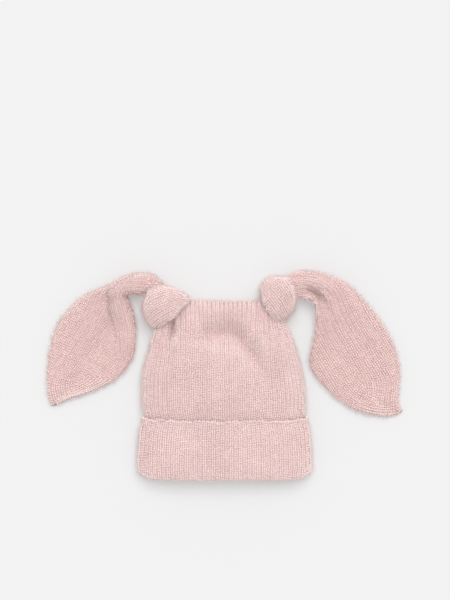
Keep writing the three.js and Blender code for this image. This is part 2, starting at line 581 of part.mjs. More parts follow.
const NECK_START = 0.006; // the neck's end stands this share clear of the crown's corner

function earSkin(ear, frame) {
  const count = EAR_COLUMNS.length;
  const points = [];
  for (let row = 0; row <= EAR_ROWS; row += 1) {
    const at = mix(NECK_START, 1, row / EAR_ROWS);
    EAR_COLUMNS.forEach((column) => points.push(earPoint(ear, frame, column, at)));
  }
  const middleOf = (row) =>
    points
      .slice(row * count, (row + 1) * count)
      .reduce((sum, point) => sum.add(point), new THREE.Vector3())
      .divideScalar(count);
  const [neckEnd, tip] = [points.length, points.length + 1];
  points.push(middleOf(0), middleOf(EAR_ROWS));

  const triangles = [];
  for (let column = 0; column < count; column += 1) {
    const next = (column + 1) % count;
    for (let row = 0; row < EAR_ROWS; row += 1) {
      const above = row + 1;
      triangles.push(
        ...quad(row * count + column, row * count + next, above * count + next, above * count + column),
      );
    }
    triangles.push([neckEnd, next, column]);
    triangles.push([tip, EAR_ROWS * count + column, EAR_ROWS * count + next]);
  }
  const outwards = frame.middle.x < 0 ? triangles : triangles.map(([a, b, c]) => [a, c, b]);
  return { points, triangles: outwards };
}

// An ear as a mesh, larger all round by a gap.
function earGeometry(ear, frame, gap) {
  const { points, triangles } = earSkin(ear, frame);
  const normals = normalsOf(points, triangles);
  return meshOf(points.map((point, i) => point.clone().addScaledVector(normals[i], gap)), triangles);
}

// The knot is hollow where the crown's corner and the ear's neck pass through it.
function knotGeometry(knot, frame, ear) {
  const band = solidOf(knotBand(knot, frame));
  const passing = solidOf(crownPlug(CLEARANCE)).add(solidOf(earGeometry(ear, frame, CLEARANCE)));
  const cut = band.subtract(passing);
  const largest = cut.decompose().reduce((a, b) => (a.volume() > b.volume() ? a : b));
  return geometryOf(largest);
}

// One yarn is used all over: a soft brushed one in pale dusty pink.
const knit = (color) => new THREE.MeshStandardMaterial({ color, roughness: 0.95, metalness: 0 });

function piece(name, geometry, color) {
  geometry.computeVertexNormals();
  const mesh = new THREE.Mesh(geometry, knit(color));
  mesh.name = name;
  return mesh;
}

const hat = new THREE.Group();
hat.add(piece("crown", crownGeometry(), 0xe6c6c3));
hat.add(piece("cuff", cuffGeometry(), 0xe9cac7));
hat.add(piece("knot_left", knotGeometry(LEFT_KNOT, leftKnot, LEFT_EAR), 0xe8cac6));
hat.add(piece("knot_right", knotGeometry(RIGHT_KNOT, rightKnot, RIGHT_EAR), 0xe8cac6));
hat.add(piece("ear_left", earGeometry(LEFT_EAR, leftKnot, 0), 0xe4c2be));
hat.add(piece("ear_right", earGeometry(RIGHT_EAR, rightKnot, 0), 0xe4c2be));

export default hat;
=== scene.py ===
# %% [markdown]
# # A knitted baby hat with knotted ears
#
# The hat is one long piece of soft, brushed yarn: a ribbed tube for the crown, its mouth turned up
# into a cuff, and at each top corner a long leaf-shaped ear, tied once in a knot close to the head.
# A smooth model with a knit picture on it looks like plastic as soon as the light comes from the
# side. So here every stitch is a small piece of yarn, and loose fibres stand out of it.
#
# The work goes from large to small: first the form of each piece as a mathematical surface, then
# stitches that follow that surface in columns, then the fibres, and at last colour and light.

import bpy
import numpy as np
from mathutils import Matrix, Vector


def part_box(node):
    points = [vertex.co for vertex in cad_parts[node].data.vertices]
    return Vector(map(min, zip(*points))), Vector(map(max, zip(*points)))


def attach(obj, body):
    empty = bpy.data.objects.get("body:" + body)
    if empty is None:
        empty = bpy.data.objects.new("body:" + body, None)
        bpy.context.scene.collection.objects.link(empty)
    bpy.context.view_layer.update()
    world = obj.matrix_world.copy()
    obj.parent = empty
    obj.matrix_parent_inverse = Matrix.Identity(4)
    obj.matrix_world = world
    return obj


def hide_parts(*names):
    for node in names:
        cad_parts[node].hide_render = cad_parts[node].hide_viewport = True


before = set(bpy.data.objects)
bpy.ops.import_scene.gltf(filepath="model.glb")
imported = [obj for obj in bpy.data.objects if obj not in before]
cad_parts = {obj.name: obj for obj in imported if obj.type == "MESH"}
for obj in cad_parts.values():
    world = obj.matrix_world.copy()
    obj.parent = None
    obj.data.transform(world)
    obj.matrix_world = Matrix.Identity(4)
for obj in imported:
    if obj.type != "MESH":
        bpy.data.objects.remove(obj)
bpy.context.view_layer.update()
print("pieces of the frame:", sorted(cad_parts))

# %% [markdown]
# ## Sizes
#
# Everything below is in millimetres, because a knitter's gauge is: so many millimetres from one rib
# to the next. Blender works in metres, so points are multiplied by MM when a mesh is made. The hat's
# length is read from the frame, and the other sizes are named here once.

# %% Name the driving sizes
MM = 0.001
box = {name: [np.array(corner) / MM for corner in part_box(name)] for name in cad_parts}
HAT_LENGTH = -2 * box["cuff"][0][1]
CROWN_WIDTH = 164.0
CROWN_LOFT = 29.0
CUFF_HEIGHT = 58.5
KNIT_WALL = 2.6
RIB_HEIGHT = 0.7
CLEARANCE = 0.4
KNOT_HEIGHT = 30.0
THROAT_WIDTH = 21.0
THROAT_HEIGHT = 14.6
EAR_THICKNESS = 7.0
RIB_PITCH = 4.2  # one column of stitches
ROW_PITCH = 2.5  # one row of stitches
RIBS = 80  # around the whole hat
print(f"hat length {HAT_LENGTH:.1f} mm, {RIBS} ribs")

# %% [markdown]
# ## Tables and smooth curves
#
# A soft outline is easier to keep as a short table than as a formula: a row for each place where it
# changes, a column for each measure. `read` runs a smooth curve through one column. It is a cubic
# Hermite curve, the same kind as a Bezier handle in the graph editor, with each slope taken from
# the two neighbouring rows.


# %% Read a column of a table along a smooth curve
def table(columns, *rows):
    """Named columns out of rows of numbers."""
    return {name: np.array(values, float) for name, values in zip(columns.split(), zip(*rows))}


def mix(start, end, share):
    return start + (end - start) * share


def ease(share):
    share = np.clip(share, 0, 1)
    return share**2 * (3 - 2 * share)


def read(rows, key, column, place):
    keys, values = rows[key], rows[column]
    last = len(keys) - 1
    before = np.maximum(np.arange(last + 1) - 1, 0)
    after = np.minimum(np.arange(last + 1) + 1, last)
    slopes = (values[after] - values[before]) / (keys[after] - keys[before])
    row = np.clip(np.searchsorted(keys, place) - 1, 0, last - 1)
    span = keys[row + 1] - keys[row]
    s = np.clip((place - keys[row]) / span, 0, 1)
    return (
        (1 + 2 * s) * (1 - s) ** 2 * values[row]
        + s * (1 - s) ** 2 * span * slopes[row]
        + s * s * (3 - 2 * s) * values[row + 1]
        + s * s * (s - 1) * span * slopes[row + 1]
    )


# %% [markdown]
# ## The crown
#
# A knitted hat that lies on a table is a flattened tube. Its section is flat underneath, where the
# table presses it, and arched on top. Further up, the tube is drawn together into its two corners,
# which pass through the knots, and between them it closes in a soft edge.
#
# The surface is a function of two numbers: the place around the tube, and v, the way up from the
# rim. Dents and puffs are soft bell curves laid over the front.

# %% Write down the crown's outline and its dents
# up is a share of the length, left and right are shares of half the width, over is the height.
CROWN_ROWS = table(
    "up left right over",
    (0.00, 1.008, 1.008, 0.70),
    (0.06, 1.016, 1.016, 0.75),
    (0.15, 1.010, 1.010, 0.77),
    (0.25, 0.992, 0.992, 0.79),
    (0.32, 0.958, 0.958, 0.80),
    (0.37, 0.992, 0.980, 0.88),
    (0.45, 1.006, 0.983, 0.97),
    (0.60, 1.000, 0.945, 1.00),
    (0.70, 0.975, 0.935, 0.97),
    (0.80, 0.970, 0.920, 0.88),
    (0.88, 0.880, 0.800, 0.78),
    (0.95, 0.800, 0.690, 0.72),
    (1.00, 0.800, 0.690, 0.68),
)
# x and y are shares of the width and the length, from the middle. A bump has a negative depth.
FRONT_DENTS = table(
    "x y wide tall turn deep",
    (-0.020, 0.305, 0.135, 0.066, 0, 0.34),
    (0.132, 0.230, 0.130, 0.052, -54, 0.29),
    (0.225, 0.120, 0.140, 0.050, -62, 0.09),
    (-0.322, 0.345, 0.026, 0.060, -8, 0.50),
    (-0.365, 0.250, 0.025, 0.060, -8, 0.06),
    (-0.120, 0.310, 0.022, 0.055, 4, 0.07),
    (-0.250, 0.030, 0.090, 0.100, 0, 0.06),
    (-0.225, 0.370, 0.045, 0.060, 0, -0.12),
    (0.395, 0.170, 0.060, 0.110, 12, -0.06),
    (-0.020, -0.110, 0.110, 0.130, 0, -0.05),
    (-0.200, -0.260, 0.090, 0.050, 0, 0.05),
)
KNIT_DENTS = 1.4  # the knit sinks this much deeper into the dents than the frame's plain solid


def dent_depth(x, y):
    depth = np.zeros_like(x)
    for dx, dy, wide, tall, turn, deep in zip(*FRONT_DENTS.values()):
        right, up = x - dx * CROWN_WIDTH, y - dy * HAT_LENGTH
        c, s = np.cos(np.radians(turn)), np.sin(np.radians(turn))
        u = (right * c + up * s) / (wide * CROWN_WIDTH)
        w = (up * c - right * s) / (tall * HAT_LENGTH)
        depth += deep * (KNIT_DENTS if deep > 0 else 1) * CROWN_LOFT * np.exp(-u * u - w * w)
    return depth


# %% [markdown]
# The knots decide where the crown's corners end, so their places come first. `along` runs with the
# neck of the ear through the knot, and `across` lies in the plane of the hat at a right angle to it.
# A tied knot is no neat ring: its table gives the edge near the crown and the far edge, as shares of
# half its width, from its outer end at -1 to the end that rests over the hat's top edge at 1.


# %% Place the two knots
class Knot:
    """A knot's place and size, in millimetres, and its own two directions in plan."""

    def __init__(self, x, y, turn, length, width, rows):
        self.length, self.width, self.rows = length, width, rows
        self.side = -1 if x < 0 else 1
        self.middle = np.array([x * CROWN_WIDTH / 2, y * HAT_LENGTH / 2])
        self.along = np.array([np.cos(np.radians(turn)), np.sin(np.radians(turn))])
        self.across = np.array([-self.along[1], self.along[0]]) * self.side

    def place(self, across_by, along_by):
        across_by, along_by = np.asarray(across_by), np.asarray(along_by)
        return self.middle + across_by[..., None] * self.across + along_by[..., None] * self.along


LEFT_KNOT_ROWS = table(
    "end near far",
    (-1.0, -1.09, 0.61),
    (-0.7, -1.00, 1.03),
    (-0.4, -0.96, 1.18),
    (0.0, -0.93, 1.15),
    (0.4, -0.87, 1.03),
    (0.7, -0.75, 0.79),
    (1.0, -0.67, 0.09),
)
RIGHT_KNOT_ROWS = table(
    "end near far",
    (-1.0, -1.09, 0.42),
    (-0.7, -1.07, 0.70),
    (-0.3, -1.02, 0.94),
    (0.0, -0.97, 1.05),
    (0.4, -0.87, 1.09),
    (0.7, -0.74, 0.94),
    (1.0, -0.49, 0.69),
)
left_knot = Knot(x=-0.73, y=0.967, turn=117, length=48, width=33, rows=LEFT_KNOT_ROWS)
right_knot = Knot(x=0.655, y=1.055, turn=47, length=41, width=35, rows=RIGHT_KNOT_ROWS)

TIP_REACH = THROAT_WIDTH / 2 - RIB_HEIGHT
TIP_END = -(CLEARANCE + RIB_HEIGHT)
TOP_Y = HAT_LENGTH / 2
TOP_ROWS = table(
    "across x y",
    (-1.00, *left_knot.place(-TIP_REACH, TIP_END)),
    (-0.64, *left_knot.place(TIP_REACH, TIP_END)),
    (-0.57, *left_knot.place(TIP_REACH, -left_knot.width / 2 * 0.5)),
    (-0.47, *left_knot.place(left_knot.length / 2 * 0.85, -left_knot.width / 2 * 0.52)),
    (-0.40, -0.195 * CROWN_WIDTH, TOP_Y + 0.8),
    (-0.20, -0.1 * CROWN_WIDTH, TOP_Y + 0.6),
    (0.05, 0.02 * CROWN_WIDTH, TOP_Y),
    (0.34, 0.172 * CROWN_WIDTH, TOP_Y + 0.4),
    (0.44, *right_knot.place(TIP_REACH * 1.1, -right_knot.width / 2 * 0.7)),
    (0.55, *right_knot.place(TIP_REACH, -right_knot.width / 2 * 0.4)),
    (0.62, *right_knot.place(TIP_REACH, TIP_END)),
    (1.00, *right_knot.place(-TIP_REACH, TIP_END)),
)

# %% [markdown]
# Stitches are all the same width, so their columns must be spaced evenly around the section, and
# not evenly across it. `section` walks the arch in fine steps, adds up the length, and picks the
# places that divide it into equal parts.

# %% Divide the tube's section into even columns
SIDE_FOLD = 0.36  # height of the side folds, as a share of the height there
FRONT_ROUNDNESS = 3.2
BACK_ROUNDNESS = 10
BACK_FLATTENING = 1.03


def front_lift(across):
    return np.sqrt(np.maximum(1 - np.abs(across) ** FRONT_ROUNDNESS, 0))


def back_lift(across):
    arch = np.sqrt(np.maximum(1 - np.abs(across) ** BACK_ROUNDNESS, 0))
    return np.minimum(1, BACK_FLATTENING * arch)


def even_steps(lift, height, steps):
    walk = -np.cos(np.linspace(0, np.pi, 2001))
    step = np.hypot(np.diff(walk) * CROWN_WIDTH / 2, np.diff(lift(walk)) * height)
    length = np.concatenate([[0], np.cumsum(step)])
    return np.interp(np.arange(steps) / steps * length[-1], length, walk)


def section(count, shift=0.0):
    """across, lift and a front flag for count columns around the tube."""
    fine = 8
    front = even_steps(front_lift, CROWN_LOFT * (1 - SIDE_FOLD), count // 2 * fine)
    back = -even_steps(back_lift, CROWN_LOFT * SIDE_FOLD, count // 2 * fine)
    start = int(shift * fine)
    front, back = front[start::fine], back[start::fine]
    across = np.concatenate([front, back])
    lift = np.concatenate([front_lift(front), back_lift(back)])
    return across, lift, np.arange(count) < count // 2


# %% Turn a place around and a way up into a point of the crown
RIM_Y = -HAT_LENGTH / 2 + KNIT_WALL + CLEARANCE
CROWN_LENGTH = HAT_LENGTH / 2 - RIM_Y
CUFF_COVER = KNIT_WALL + RIB_HEIGHT + CLEARANCE
CUFF_TOP = (CUFF_HEIGHT - KNIT_WALL - CLEARANCE) / CROWN_LENGTH
TOP_START = 0.94
GATHER_START = 0.55
BACK_DROP = 0.055
LIFT_START = 0.72
LIFT_END = 0.87
CUFF_EDGE_RISE = 3.0
CORNER_START = 0.4
CORNER_END = 0.6
CORNER_DENTS = 0.5  # the share of a dent that is left in a lifted corner
HEM_CORNER = 7.0
HEM_SQUARENESS = 16
THROAT_UNDER = KNOT_HEIGHT / 2 - THROAT_HEIGHT / 2 + CLEARANCE
THROAT_OVER = KNOT_HEIGHT / 2 + THROAT_HEIGHT / 2 - CLEARANCE


def crown_points(columns, v):
    """Points with one row for each v and one column for each place around."""
    across, lift, front = (part[None, :] for part in columns)
    v = np.asarray(v, float)[:, None]
    opening = np.sqrt(np.clip(1 - (np.maximum(v - TOP_START, 0) / (1 - TOP_START)) ** 2, 0, 1))
    gather = ease((v - GATHER_START) / (1 - GATHER_START))
    over_cuff = v - CUFF_TOP
    hem = HEM_CORNER * np.abs(across) ** HEM_SQUARENESS * (1 - ease(v / CUFF_TOP))
    rise = CUFF_EDGE_RISE * across**4 * (1 - ease(np.abs(over_cuff) / CUFF_TOP))
    end_x = read(TOP_ROWS, "across", "x", across)
    end_y = read(TOP_ROWS, "across", "y", across)
    y = mix(RIM_Y + hem + rise + v * CROWN_LENGTH, mix(RIM_Y, end_y, v), gather)
    up = np.minimum((y - RIM_Y) / CROWN_LENGTH, 1)
    left, right = (read(CROWN_ROWS, "up", side, up) for side in ("left", "right"))
    x = mix(across * CROWN_WIDTH / 2 * np.where(across < 0, left, right), end_x, gather)

    sideways = (np.abs(across) - CORNER_START) / (CORNER_END - CORNER_START)
    corner = ease((v - LIFT_START) / (LIFT_END - LIFT_START)) * ease(sideways)
    under = mix(CUFF_COVER * (1 - ease(over_cuff / BACK_DROP)), THROAT_UNDER, corner)
    over = mix(read(CROWN_ROWS, "up", "over", up) * CROWN_LOFT, THROAT_OVER, corner)
    fold = mix(under, over, mix(SIDE_FOLD, 0.5, corner))
    dent = np.where(front, dent_depth(x, y) * mix(1, CORNER_DENTS, corner), 0)
    reach = np.where(front, over - dent - fold, under - fold)
    return np.stack([x, y, fold + reach * lift * opening], axis=-1)


# %% [markdown]
# ## Meshes from grids
#
# Every soft piece here is a grid of points that closes on itself one way, like a sock. `outward`
# finds the direction out of the cloth at each point from its neighbours. `grid_faces` joins the
# points by four-sided faces, always in the same turn, because that turn decides which side of a
# face is its outside.


# %% Work with grids of points
def unit(vectors):
    return vectors / np.maximum(np.linalg.norm(vectors, axis=-1, keepdims=True), 1e-9)


def outward(points, closed=True):
    """The direction out of the cloth, where rows run along it and columns run round it."""
    if closed:
        around = np.roll(points, -1, axis=1) - np.roll(points, 1, axis=1)
    else:
        around = np.gradient(points, axis=1)
    return unit(np.cross(around, np.gradient(points, axis=0)))


def column_gaps(lines):
    """How far apart the columns of a closed grid run."""
    return np.linalg.norm(np.roll(lines, -1, axis=1) - np.roll(lines, 1, axis=1), axis=-1) / 2


def walked(line):
    """The length walked along a line up to each of its points."""
    return np.concatenate([[0], np.cumsum(np.linalg.norm(np.diff(line, axis=0), axis=1))])


def keep_over(points, floor):
    """Lifts the points that lie lower than a floor."""
    points[..., 2] = np.maximum(points[..., 2], floor)
    return points


def lay(points, normals, height, floor):
    """Moves points out of the cloth by a height, and keeps them over the floor."""
    return keep_over(points + normals * height, floor)


def mesh_object(name, points, faces):
    mesh = bpy.data.meshes.new(name)
    corners = [list(map(int, face)) for face in faces]
    mesh.from_pydata((np.asarray(points) * MM).tolist(), [], corners)
    mesh.validate()
    mesh.shade_smooth()
    piece = bpy.data.objects.new(name, mesh)
    bpy.context.scene.collection.objects.link(piece)
    return piece


def grid_faces(rows, columns, flip=False, closed=True):
    row, column = np.meshgrid(np.arange(rows - 1), np.arange(columns - (not closed)), indexing="ij")
    a = row * columns + column
    b = row * columns + (column + 1) % columns
    faces = np.stack([a, b, b + columns, a + columns], axis=-1).reshape(-1, 4)
    return faces[:, ::-1] if flip else faces


def ring_faces(rows, columns, flip=False):
    """Faces of a grid that closes on itself both ways, so that its last row meets its first."""
    return grid_faces(rows + 1, columns, flip=flip) % (rows * columns)


# %% [markdown]
# ## Columns of stitches
#
# A knitted column, called a wale, is a chain of V shapes. `Seats` collects a seat for each stitch:
# where it sits, which way is out of the cloth, which way the column runs, and how wide the stitch
# is there. Where the cloth is drawn together the columns crowd, and there every second or fourth
# one is kept and made wider, as the others sink into the folds of the real cloth.


# %% Collect the seats of the stitches
WALE_WANDER = 0.14  # how far a column strays sideways
WALE_UNEVENNESS = 0.14  # how far it stands higher or lower than the next
STITCH_UNEVENNESS = 0.1  # how much single stitches differ
NARROWEST_WALE = 3.0  # narrower columns sink into the folds
WIDEST_STITCH = 1.35  # as a share of the usual width
HIGHEST_WALE = 0.2
BACK_GAP = 0.95  # the stitches' height over the floor underneath
WAVE_LENGTH = 16.0
WAVE_FACTORS = (0.5, 1, 2.3)


def wander(chance, length, reach):
    """A soft irregular wave along a column, in millimetres."""
    turns = chance.uniform(0, 2 * np.pi, len(WAVE_FACTORS))
    pairs = zip(WAVE_FACTORS, turns)
    waves = [np.sin(length / WAVE_LENGTH * factor * 2 * np.pi + turn) for factor, turn in pairs]
    return reach * (chance.normal(0, 0.5) + sum(waves) / 2)


class Seats:
    """Places for stitches, with the directions and the size of each."""

    def __init__(self, seed):
        self.chance = np.random.default_rng(seed)
        self.parts = {"place": [], "out": [], "along": [], "size": []}

    def add(self, lines, outs, pitch, alive=None, slim=None):
        """lines, outs: rows along each column of stitches; pitch: the columns' distance there;
        slim: how much narrower the stitches are where the cloth is stretched and its grooves open."""
        chance = self.chance
        for column in range(lines.shape[1]):
            line = lines[:, column]
            length = walked(line)
            wanted = np.arange(ROW_PITCH * chance.uniform(0, 1), length[-1], ROW_PITCH)

            def at(values):
                return np.stack([np.interp(wanted, length, part) for part in values.T], axis=-1)

            place, out = at(line), unit(at(outs[:, column]))
            along = unit(at(np.gradient(line, axis=0)))
            across = np.cross(along, out)
            gap = np.interp(wanted, length, pitch[:, column])
            skip = np.where(gap > NARROWEST_WALE, 1, np.where(gap > NARROWEST_WALE / 2, 2, 4))
            keep = column % skip == 0
            if alive is not None:
                keep &= np.interp(wanted, length, alive[:, column].astype(float)) > 0.5
            wide = np.minimum(gap * skip / RIB_PITCH, WIDEST_STITCH)
            if slim is not None:
                wide = wide * (1 - np.interp(wanted, length, slim[:, column]))
            place = place + across * wander(chance, wanted, WALE_WANDER)[:, None]
            place += out * np.minimum(wander(chance, wanted, WALE_UNEVENNESS), HIGHEST_WALE)[:, None]
            place += chance.normal(0, STITCH_UNEVENNESS, place.shape)
            along = unit(along + across * chance.normal(0, STITCH_UNEVENNESS, (len(wanted), 1)))
            out = unit(out + across * chance.normal(0, STITCH_UNEVENNESS, (len(wanted), 1)))
            size = np.stack([wide, np.ones_like(wide), np.sqrt(wide)], axis=-1)
            size *= chance.normal(1, STITCH_UNEVENNESS * 0.7, (len(wanted), 1))
            for name, values in (("place", place), ("out", out), ("along", along), ("size", size)):
                self.parts[name].append(values[keep])

    def arrays(self):
        arrays = {name: np.concatenate(parts) for name, parts in self.parts.items()}
        keep_over(arrays["place"], BACK_GAP)
        return arrays


# %% [markdown]
# ## One stitch
#
# One V is two short, fat pieces of yarn that lean away from each other and bulge out of the cloth.
# Each leg is a spindle: a ring of corners swept along a short arc, thick in the middle and sunk
# into the cloth at both ends, so that the next V grows out of it. It needs only a few dozen faces,
# because there are thousands of them.

# %% Model one stitch
LEG_SIDES = 4
LEG_RINGS = np.array([0.2, 0.5, 0.8])
LEG_START = np.array([0.5, -1.8, -0.5])
LEG_END = np.array([1.5, 1.8, -0.5])
LEG_ARCH = 0.9
LEG_FULLNESS = 0.7  # the lower, the blunter its ends
YARN_RADIUS = 0.98
BULGE_START = -0.35  # the bulge is 0 at this height and 1 at BULGE_HEIGHT over it
BULGE_HEIGHT = 1.6


def stitch_leg(side):
    """Points and faces of one leg of the V, about the middle of the stitch."""
    turn = 2 * np.pi * (np.arange(LEG_SIDES) + 0.5) / LEG_SIDES
    mirror = np.array([side, 1, 1])
    points = [LEG_START * mirror]
    for t in LEG_RINGS:
        middle = mix(LEG_START, LEG_END, t) * mirror + [0, 0, LEG_ARCH * np.sin(np.pi * t)]
        radius = YARN_RADIUS * np.sin(np.pi * t) ** LEG_FULLNESS
        points.extend(middle + radius * np.stack([np.cos(turn), 0 * turn, np.sin(turn)], axis=-1))
    points.append(LEG_END * mirror)
    last = len(points) - 1
    faces = []
    for k in range(LEG_SIDES):
        m = (k + 1) % LEG_SIDES
        faces.append((0, 1 + k, 1 + m))
        for ring in range(len(LEG_RINGS) - 1):
            a, b = 1 + ring * LEG_SIDES + k, 1 + ring * LEG_SIDES + m
            faces.append((a, a + LEG_SIDES, b + LEG_SIDES, b))
        faces.append((last, last - LEG_SIDES + m, last - LEG_SIDES + k))
    return np.array(points), faces


right_points, leg_faces = stitch_leg(1)
left_points, _ = stitch_leg(-1)
stitch_points = np.concatenate([right_points, left_points])
stitch_faces = leg_faces + [tuple(i + len(right_points) for i in face) for face in leg_faces]
stitch = mesh_object("stitch_pattern", stitch_points, stitch_faces)
# The bulge is the mask of the painted shade at the foot of each stitch.
bulge = stitch.data.attributes.new("bulge", "FLOAT", "POINT")
bulge.data.foreach_set("value", np.clip((stitch_points[:, 2] - BULGE_START) / BULGE_HEIGHT, 0, 1))
print("faces of one stitch:", len(stitch.data.polygons))

# %% [markdown]
# ## Geometry Nodes for stitches and fibres
#
# Copying a stitch thousands of times in Python would be slow. A Geometry Nodes tree does it in a
# moment: it puts an instance of the stitch on every seat, turned by the seat's two directions.
# A second tree scatters thin fibres over the cloth and leans each one another way. Both end by
# making real mesh out of the instances and by giving it a material.


# %% Add a node to any tree
def add_node(tree, kind, settings=None, inputs=None):
    """Makes a node, sets its settings first and then its sockets, by a value or by a link."""
    node = tree.nodes.new(kind)
    for name, value in (settings or {}).items():
        setattr(node, name, value)
    for name, value in (inputs or {}).items():
        socket = node.inputs[name]
        value = getattr(value, "socket", value)
        if isinstance(value, bpy.types.NodeSocket):
            tree.links.new(value, socket)
        else:
            socket.default_value = value
    return node


def new_geometry_tree(name, **sockets):
    tree = bpy.data.node_groups.new(name, "GeometryNodeTree")
    tree.interface.new_socket("Geometry", in_out="OUTPUT", socket_type="NodeSocketGeometry")
    tree.interface.new_socket("Geometry", in_out="INPUT", socket_type="NodeSocketGeometry")
    for label, kind in sockets.items():
        tree.interface.new_socket(label.replace("_", " "), in_out="INPUT", socket_type=kind)
    return tree, add_node(tree, "NodeGroupInput").outputs


def finish_tree(tree, instances, material):
    real = add_node(tree, "GeometryNodeRealizeInstances", inputs={"Geometry": instances})
    inputs = {"Geometry": real.outputs["Geometry"], "Material": material}
    finished = add_node(tree, "GeometryNodeSetMaterial", inputs=inputs)
    add_node(tree, "NodeGroupOutput", inputs={"Geometry": finished.outputs["Geometry"]})


# %% [markdown]
# Maths is easier to read as an expression than as a chain of nodes, so a small class wraps an
# output and lets Python's own operators add the Math nodes. It serves both kinds of tree.


# %% Write node maths as expressions
class Wire:
    """A node's output. An operator on it adds one Math node."""

    def __init__(self, socket):
        self.socket = socket
        self.tree = socket.id_data

    def math(self, operation, left, right):
        node = add_node(self.tree, "ShaderNodeMath", {"operation": operation}, {0: left, 1: right})
        return Wire(node.outputs["Value"])

    def __add__(self, other):
        return self.math("ADD", self, other)

    def __sub__(self, other):
        return self.math("SUBTRACT", self, other)

    def __rsub__(self, other):
        return self.math("SUBTRACT", other, self)

    def __mul__(self, other):
        return self.math("MULTIPLY", self, other)

    __radd__ = __add__
    __rmul__ = __mul__


# %% Build the tree that sets stitches on their seats
def build_stitch_tree():
    sockets = {"Stitch": "NodeSocketObject", "Yarn": "NodeSocketMaterial"}
    tree, given = new_geometry_tree("Knit stitches", **sockets)

    def seat(name):
        settings = {"data_type": "FLOAT_VECTOR"}
        return add_node(tree, "GeometryNodeInputNamedAttribute", settings, {"Name": name}).outputs[0]

    stitch_shape = add_node(tree, "GeometryNodeObjectInfo", inputs={"Object": given["Stitch"]})
    turned = add_node(
        tree,
        "FunctionNodeAxesToRotation",
        {"primary_axis": "Z", "secondary_axis": "Y"},
        {"Primary Axis": seat("out"), "Secondary Axis": seat("along")},
    )
    instances = add_node(
        tree,
        "GeometryNodeInstanceOnPoints",
        inputs={
            "Points": given["Geometry"],
            "Instance": stitch_shape.outputs["Geometry"],
            "Rotation": turned.outputs["Rotation"],
            "Scale": seat("size"),
        },
    )
    finish_tree(tree, instances.outputs["Instances"], given["Yarn"])
    return tree


# %% Build the tree that scatters fibres
FLAT_SHARE = 0.5  # of the density, where the cloth lies flat
EDGE_SHARE = 1.6  # more, where it turns down
SHORTEST_FIBRE = 0.5
LONGEST_FIBRE = 1.3


def build_fibre_tree():
    tree, given = new_geometry_tree(
        "Loose fibres",
        Fibre="NodeSocketObject",
        Yarn="NodeSocketMaterial",
        Density="NodeSocketFloat",
        Least_lean="NodeSocketFloat",
        Most_lean="NodeSocketFloat",
        Seed="NodeSocketInt",
    )
    facing = add_node(tree, "GeometryNodeInputNormal").outputs["Normal"]
    upward = Wire(add_node(tree, "ShaderNodeSeparateXYZ", inputs={"Vector": facing}).outputs["Z"])
    sideways = 1 - upward * upward
    density = Wire(given["Density"]) * (FLAT_SHARE + EDGE_SHARE * sideways * sideways)
    points = add_node(
        tree,
        "GeometryNodeDistributePointsOnFaces",
        inputs={"Mesh": given["Geometry"], "Density": density, "Seed": given["Seed"]},
    )
    least = add_node(tree, "ShaderNodeCombineXYZ", inputs={"X": given["Least lean"]})
    most = add_node(tree, "ShaderNodeCombineXYZ", inputs={"X": given["Most lean"], "Z": 2 * np.pi})
    limits = {"Min": least.outputs[0], "Max": most.outputs[0], "Seed": given["Seed"]}
    lean = add_node(tree, "FunctionNodeRandomValue", {"data_type": "FLOAT_VECTOR"}, limits)
    tilt = add_node(tree, "FunctionNodeEulerToRotation", inputs={"Euler": lean.outputs["Value"]})
    turned = add_node(
        tree,
        "FunctionNodeRotateRotation",
        {"rotation_space": "LOCAL"},
        {"Rotation": points.outputs["Rotation"], "Rotate By": tilt.outputs["Rotation"]},
    )
    limits = {2: SHORTEST_FIBRE, 3: LONGEST_FIBRE, "Seed": given["Seed"]}
    length = add_node(tree, "FunctionNodeRandomValue", {"data_type": "FLOAT"}, limits)
    shape = add_node(tree, "GeometryNodeObjectInfo", inputs={"Object": given["Fibre"]})
    instances = add_node(
        tree,
        "GeometryNodeInstanceOnPoints",
        inputs={
            "Points": points.outputs["Points"],
            "Instance": shape.outputs["Geometry"],
            "Rotation": turned.outputs["Rotation"],
            "Scale": length.outputs[1],
        },
    )
    finish_tree(tree, instances.outputs["Instances"], given["Yarn"])
    return tree


stitch_tree = build_stitch_tree()
fibre_tree = build_fibre_tree()
print("trees:", stitch_tree.name, "and", fibre_tree.name)


# %% Run a tree once and keep its mesh
def grow(name, base, tree, **values):
    """Runs a tree on base and returns the result as a plain mesh object; base is deleted."""
    modifier = base.modifiers.new(tree.name, "NODES")
    modifier.node_group = tree
    for item in tree.interface.items_tree:
        key = item.name.replace(" ", "_")
        if item.in_out == "INPUT" and key in values:
            modifier[item.identifier] = values[key]
    graph = bpy.context.evaluated_depsgraph_get()
    mesh = bpy.data.meshes.new_from_object(
        base.evaluated_get(graph), preserve_all_data_layers=True, depsgraph=graph
    )
    mesh.name = name
    base_mesh = base.data
    bpy.data.objects.remove(base)
    bpy.data.meshes.remove(base_mesh)
    piece = bpy.data.objects.new(name, mesh)
    bpy.context.scene.collection.objects.link(piece)
    return piece


# %% Model one fibre
FIBRE_LENGTH = 4.2
FIBRE_RADIUS = 0.09
FIBRE_MIDDLE = [0.0, 0.5, FIBRE_LENGTH * 0.5]
FIBRE_TIP = [0.9, 1.7, FIBRE_LENGTH]


def fibre_points():
    """A thin needle that bends over at its middle, with a triangle for its section."""
    turn = 2 * np.pi * np.arange(3) / 3
    ring = np.stack([np.cos(turn), np.sin(turn), 0 * turn], axis=-1) * FIBRE_RADIUS
    return np.concatenate([[(0, 0, 0)], ring + FIBRE_MIDDLE, [FIBRE_TIP]])


FIBRE_FACES = [(0, 2, 1), (0, 3, 2), (0, 1, 3), (4, 1, 2), (4, 2, 3), (4, 3, 1)]
fibre = mesh_object("fibre_pattern", fibre_points(), FIBRE_FACES)
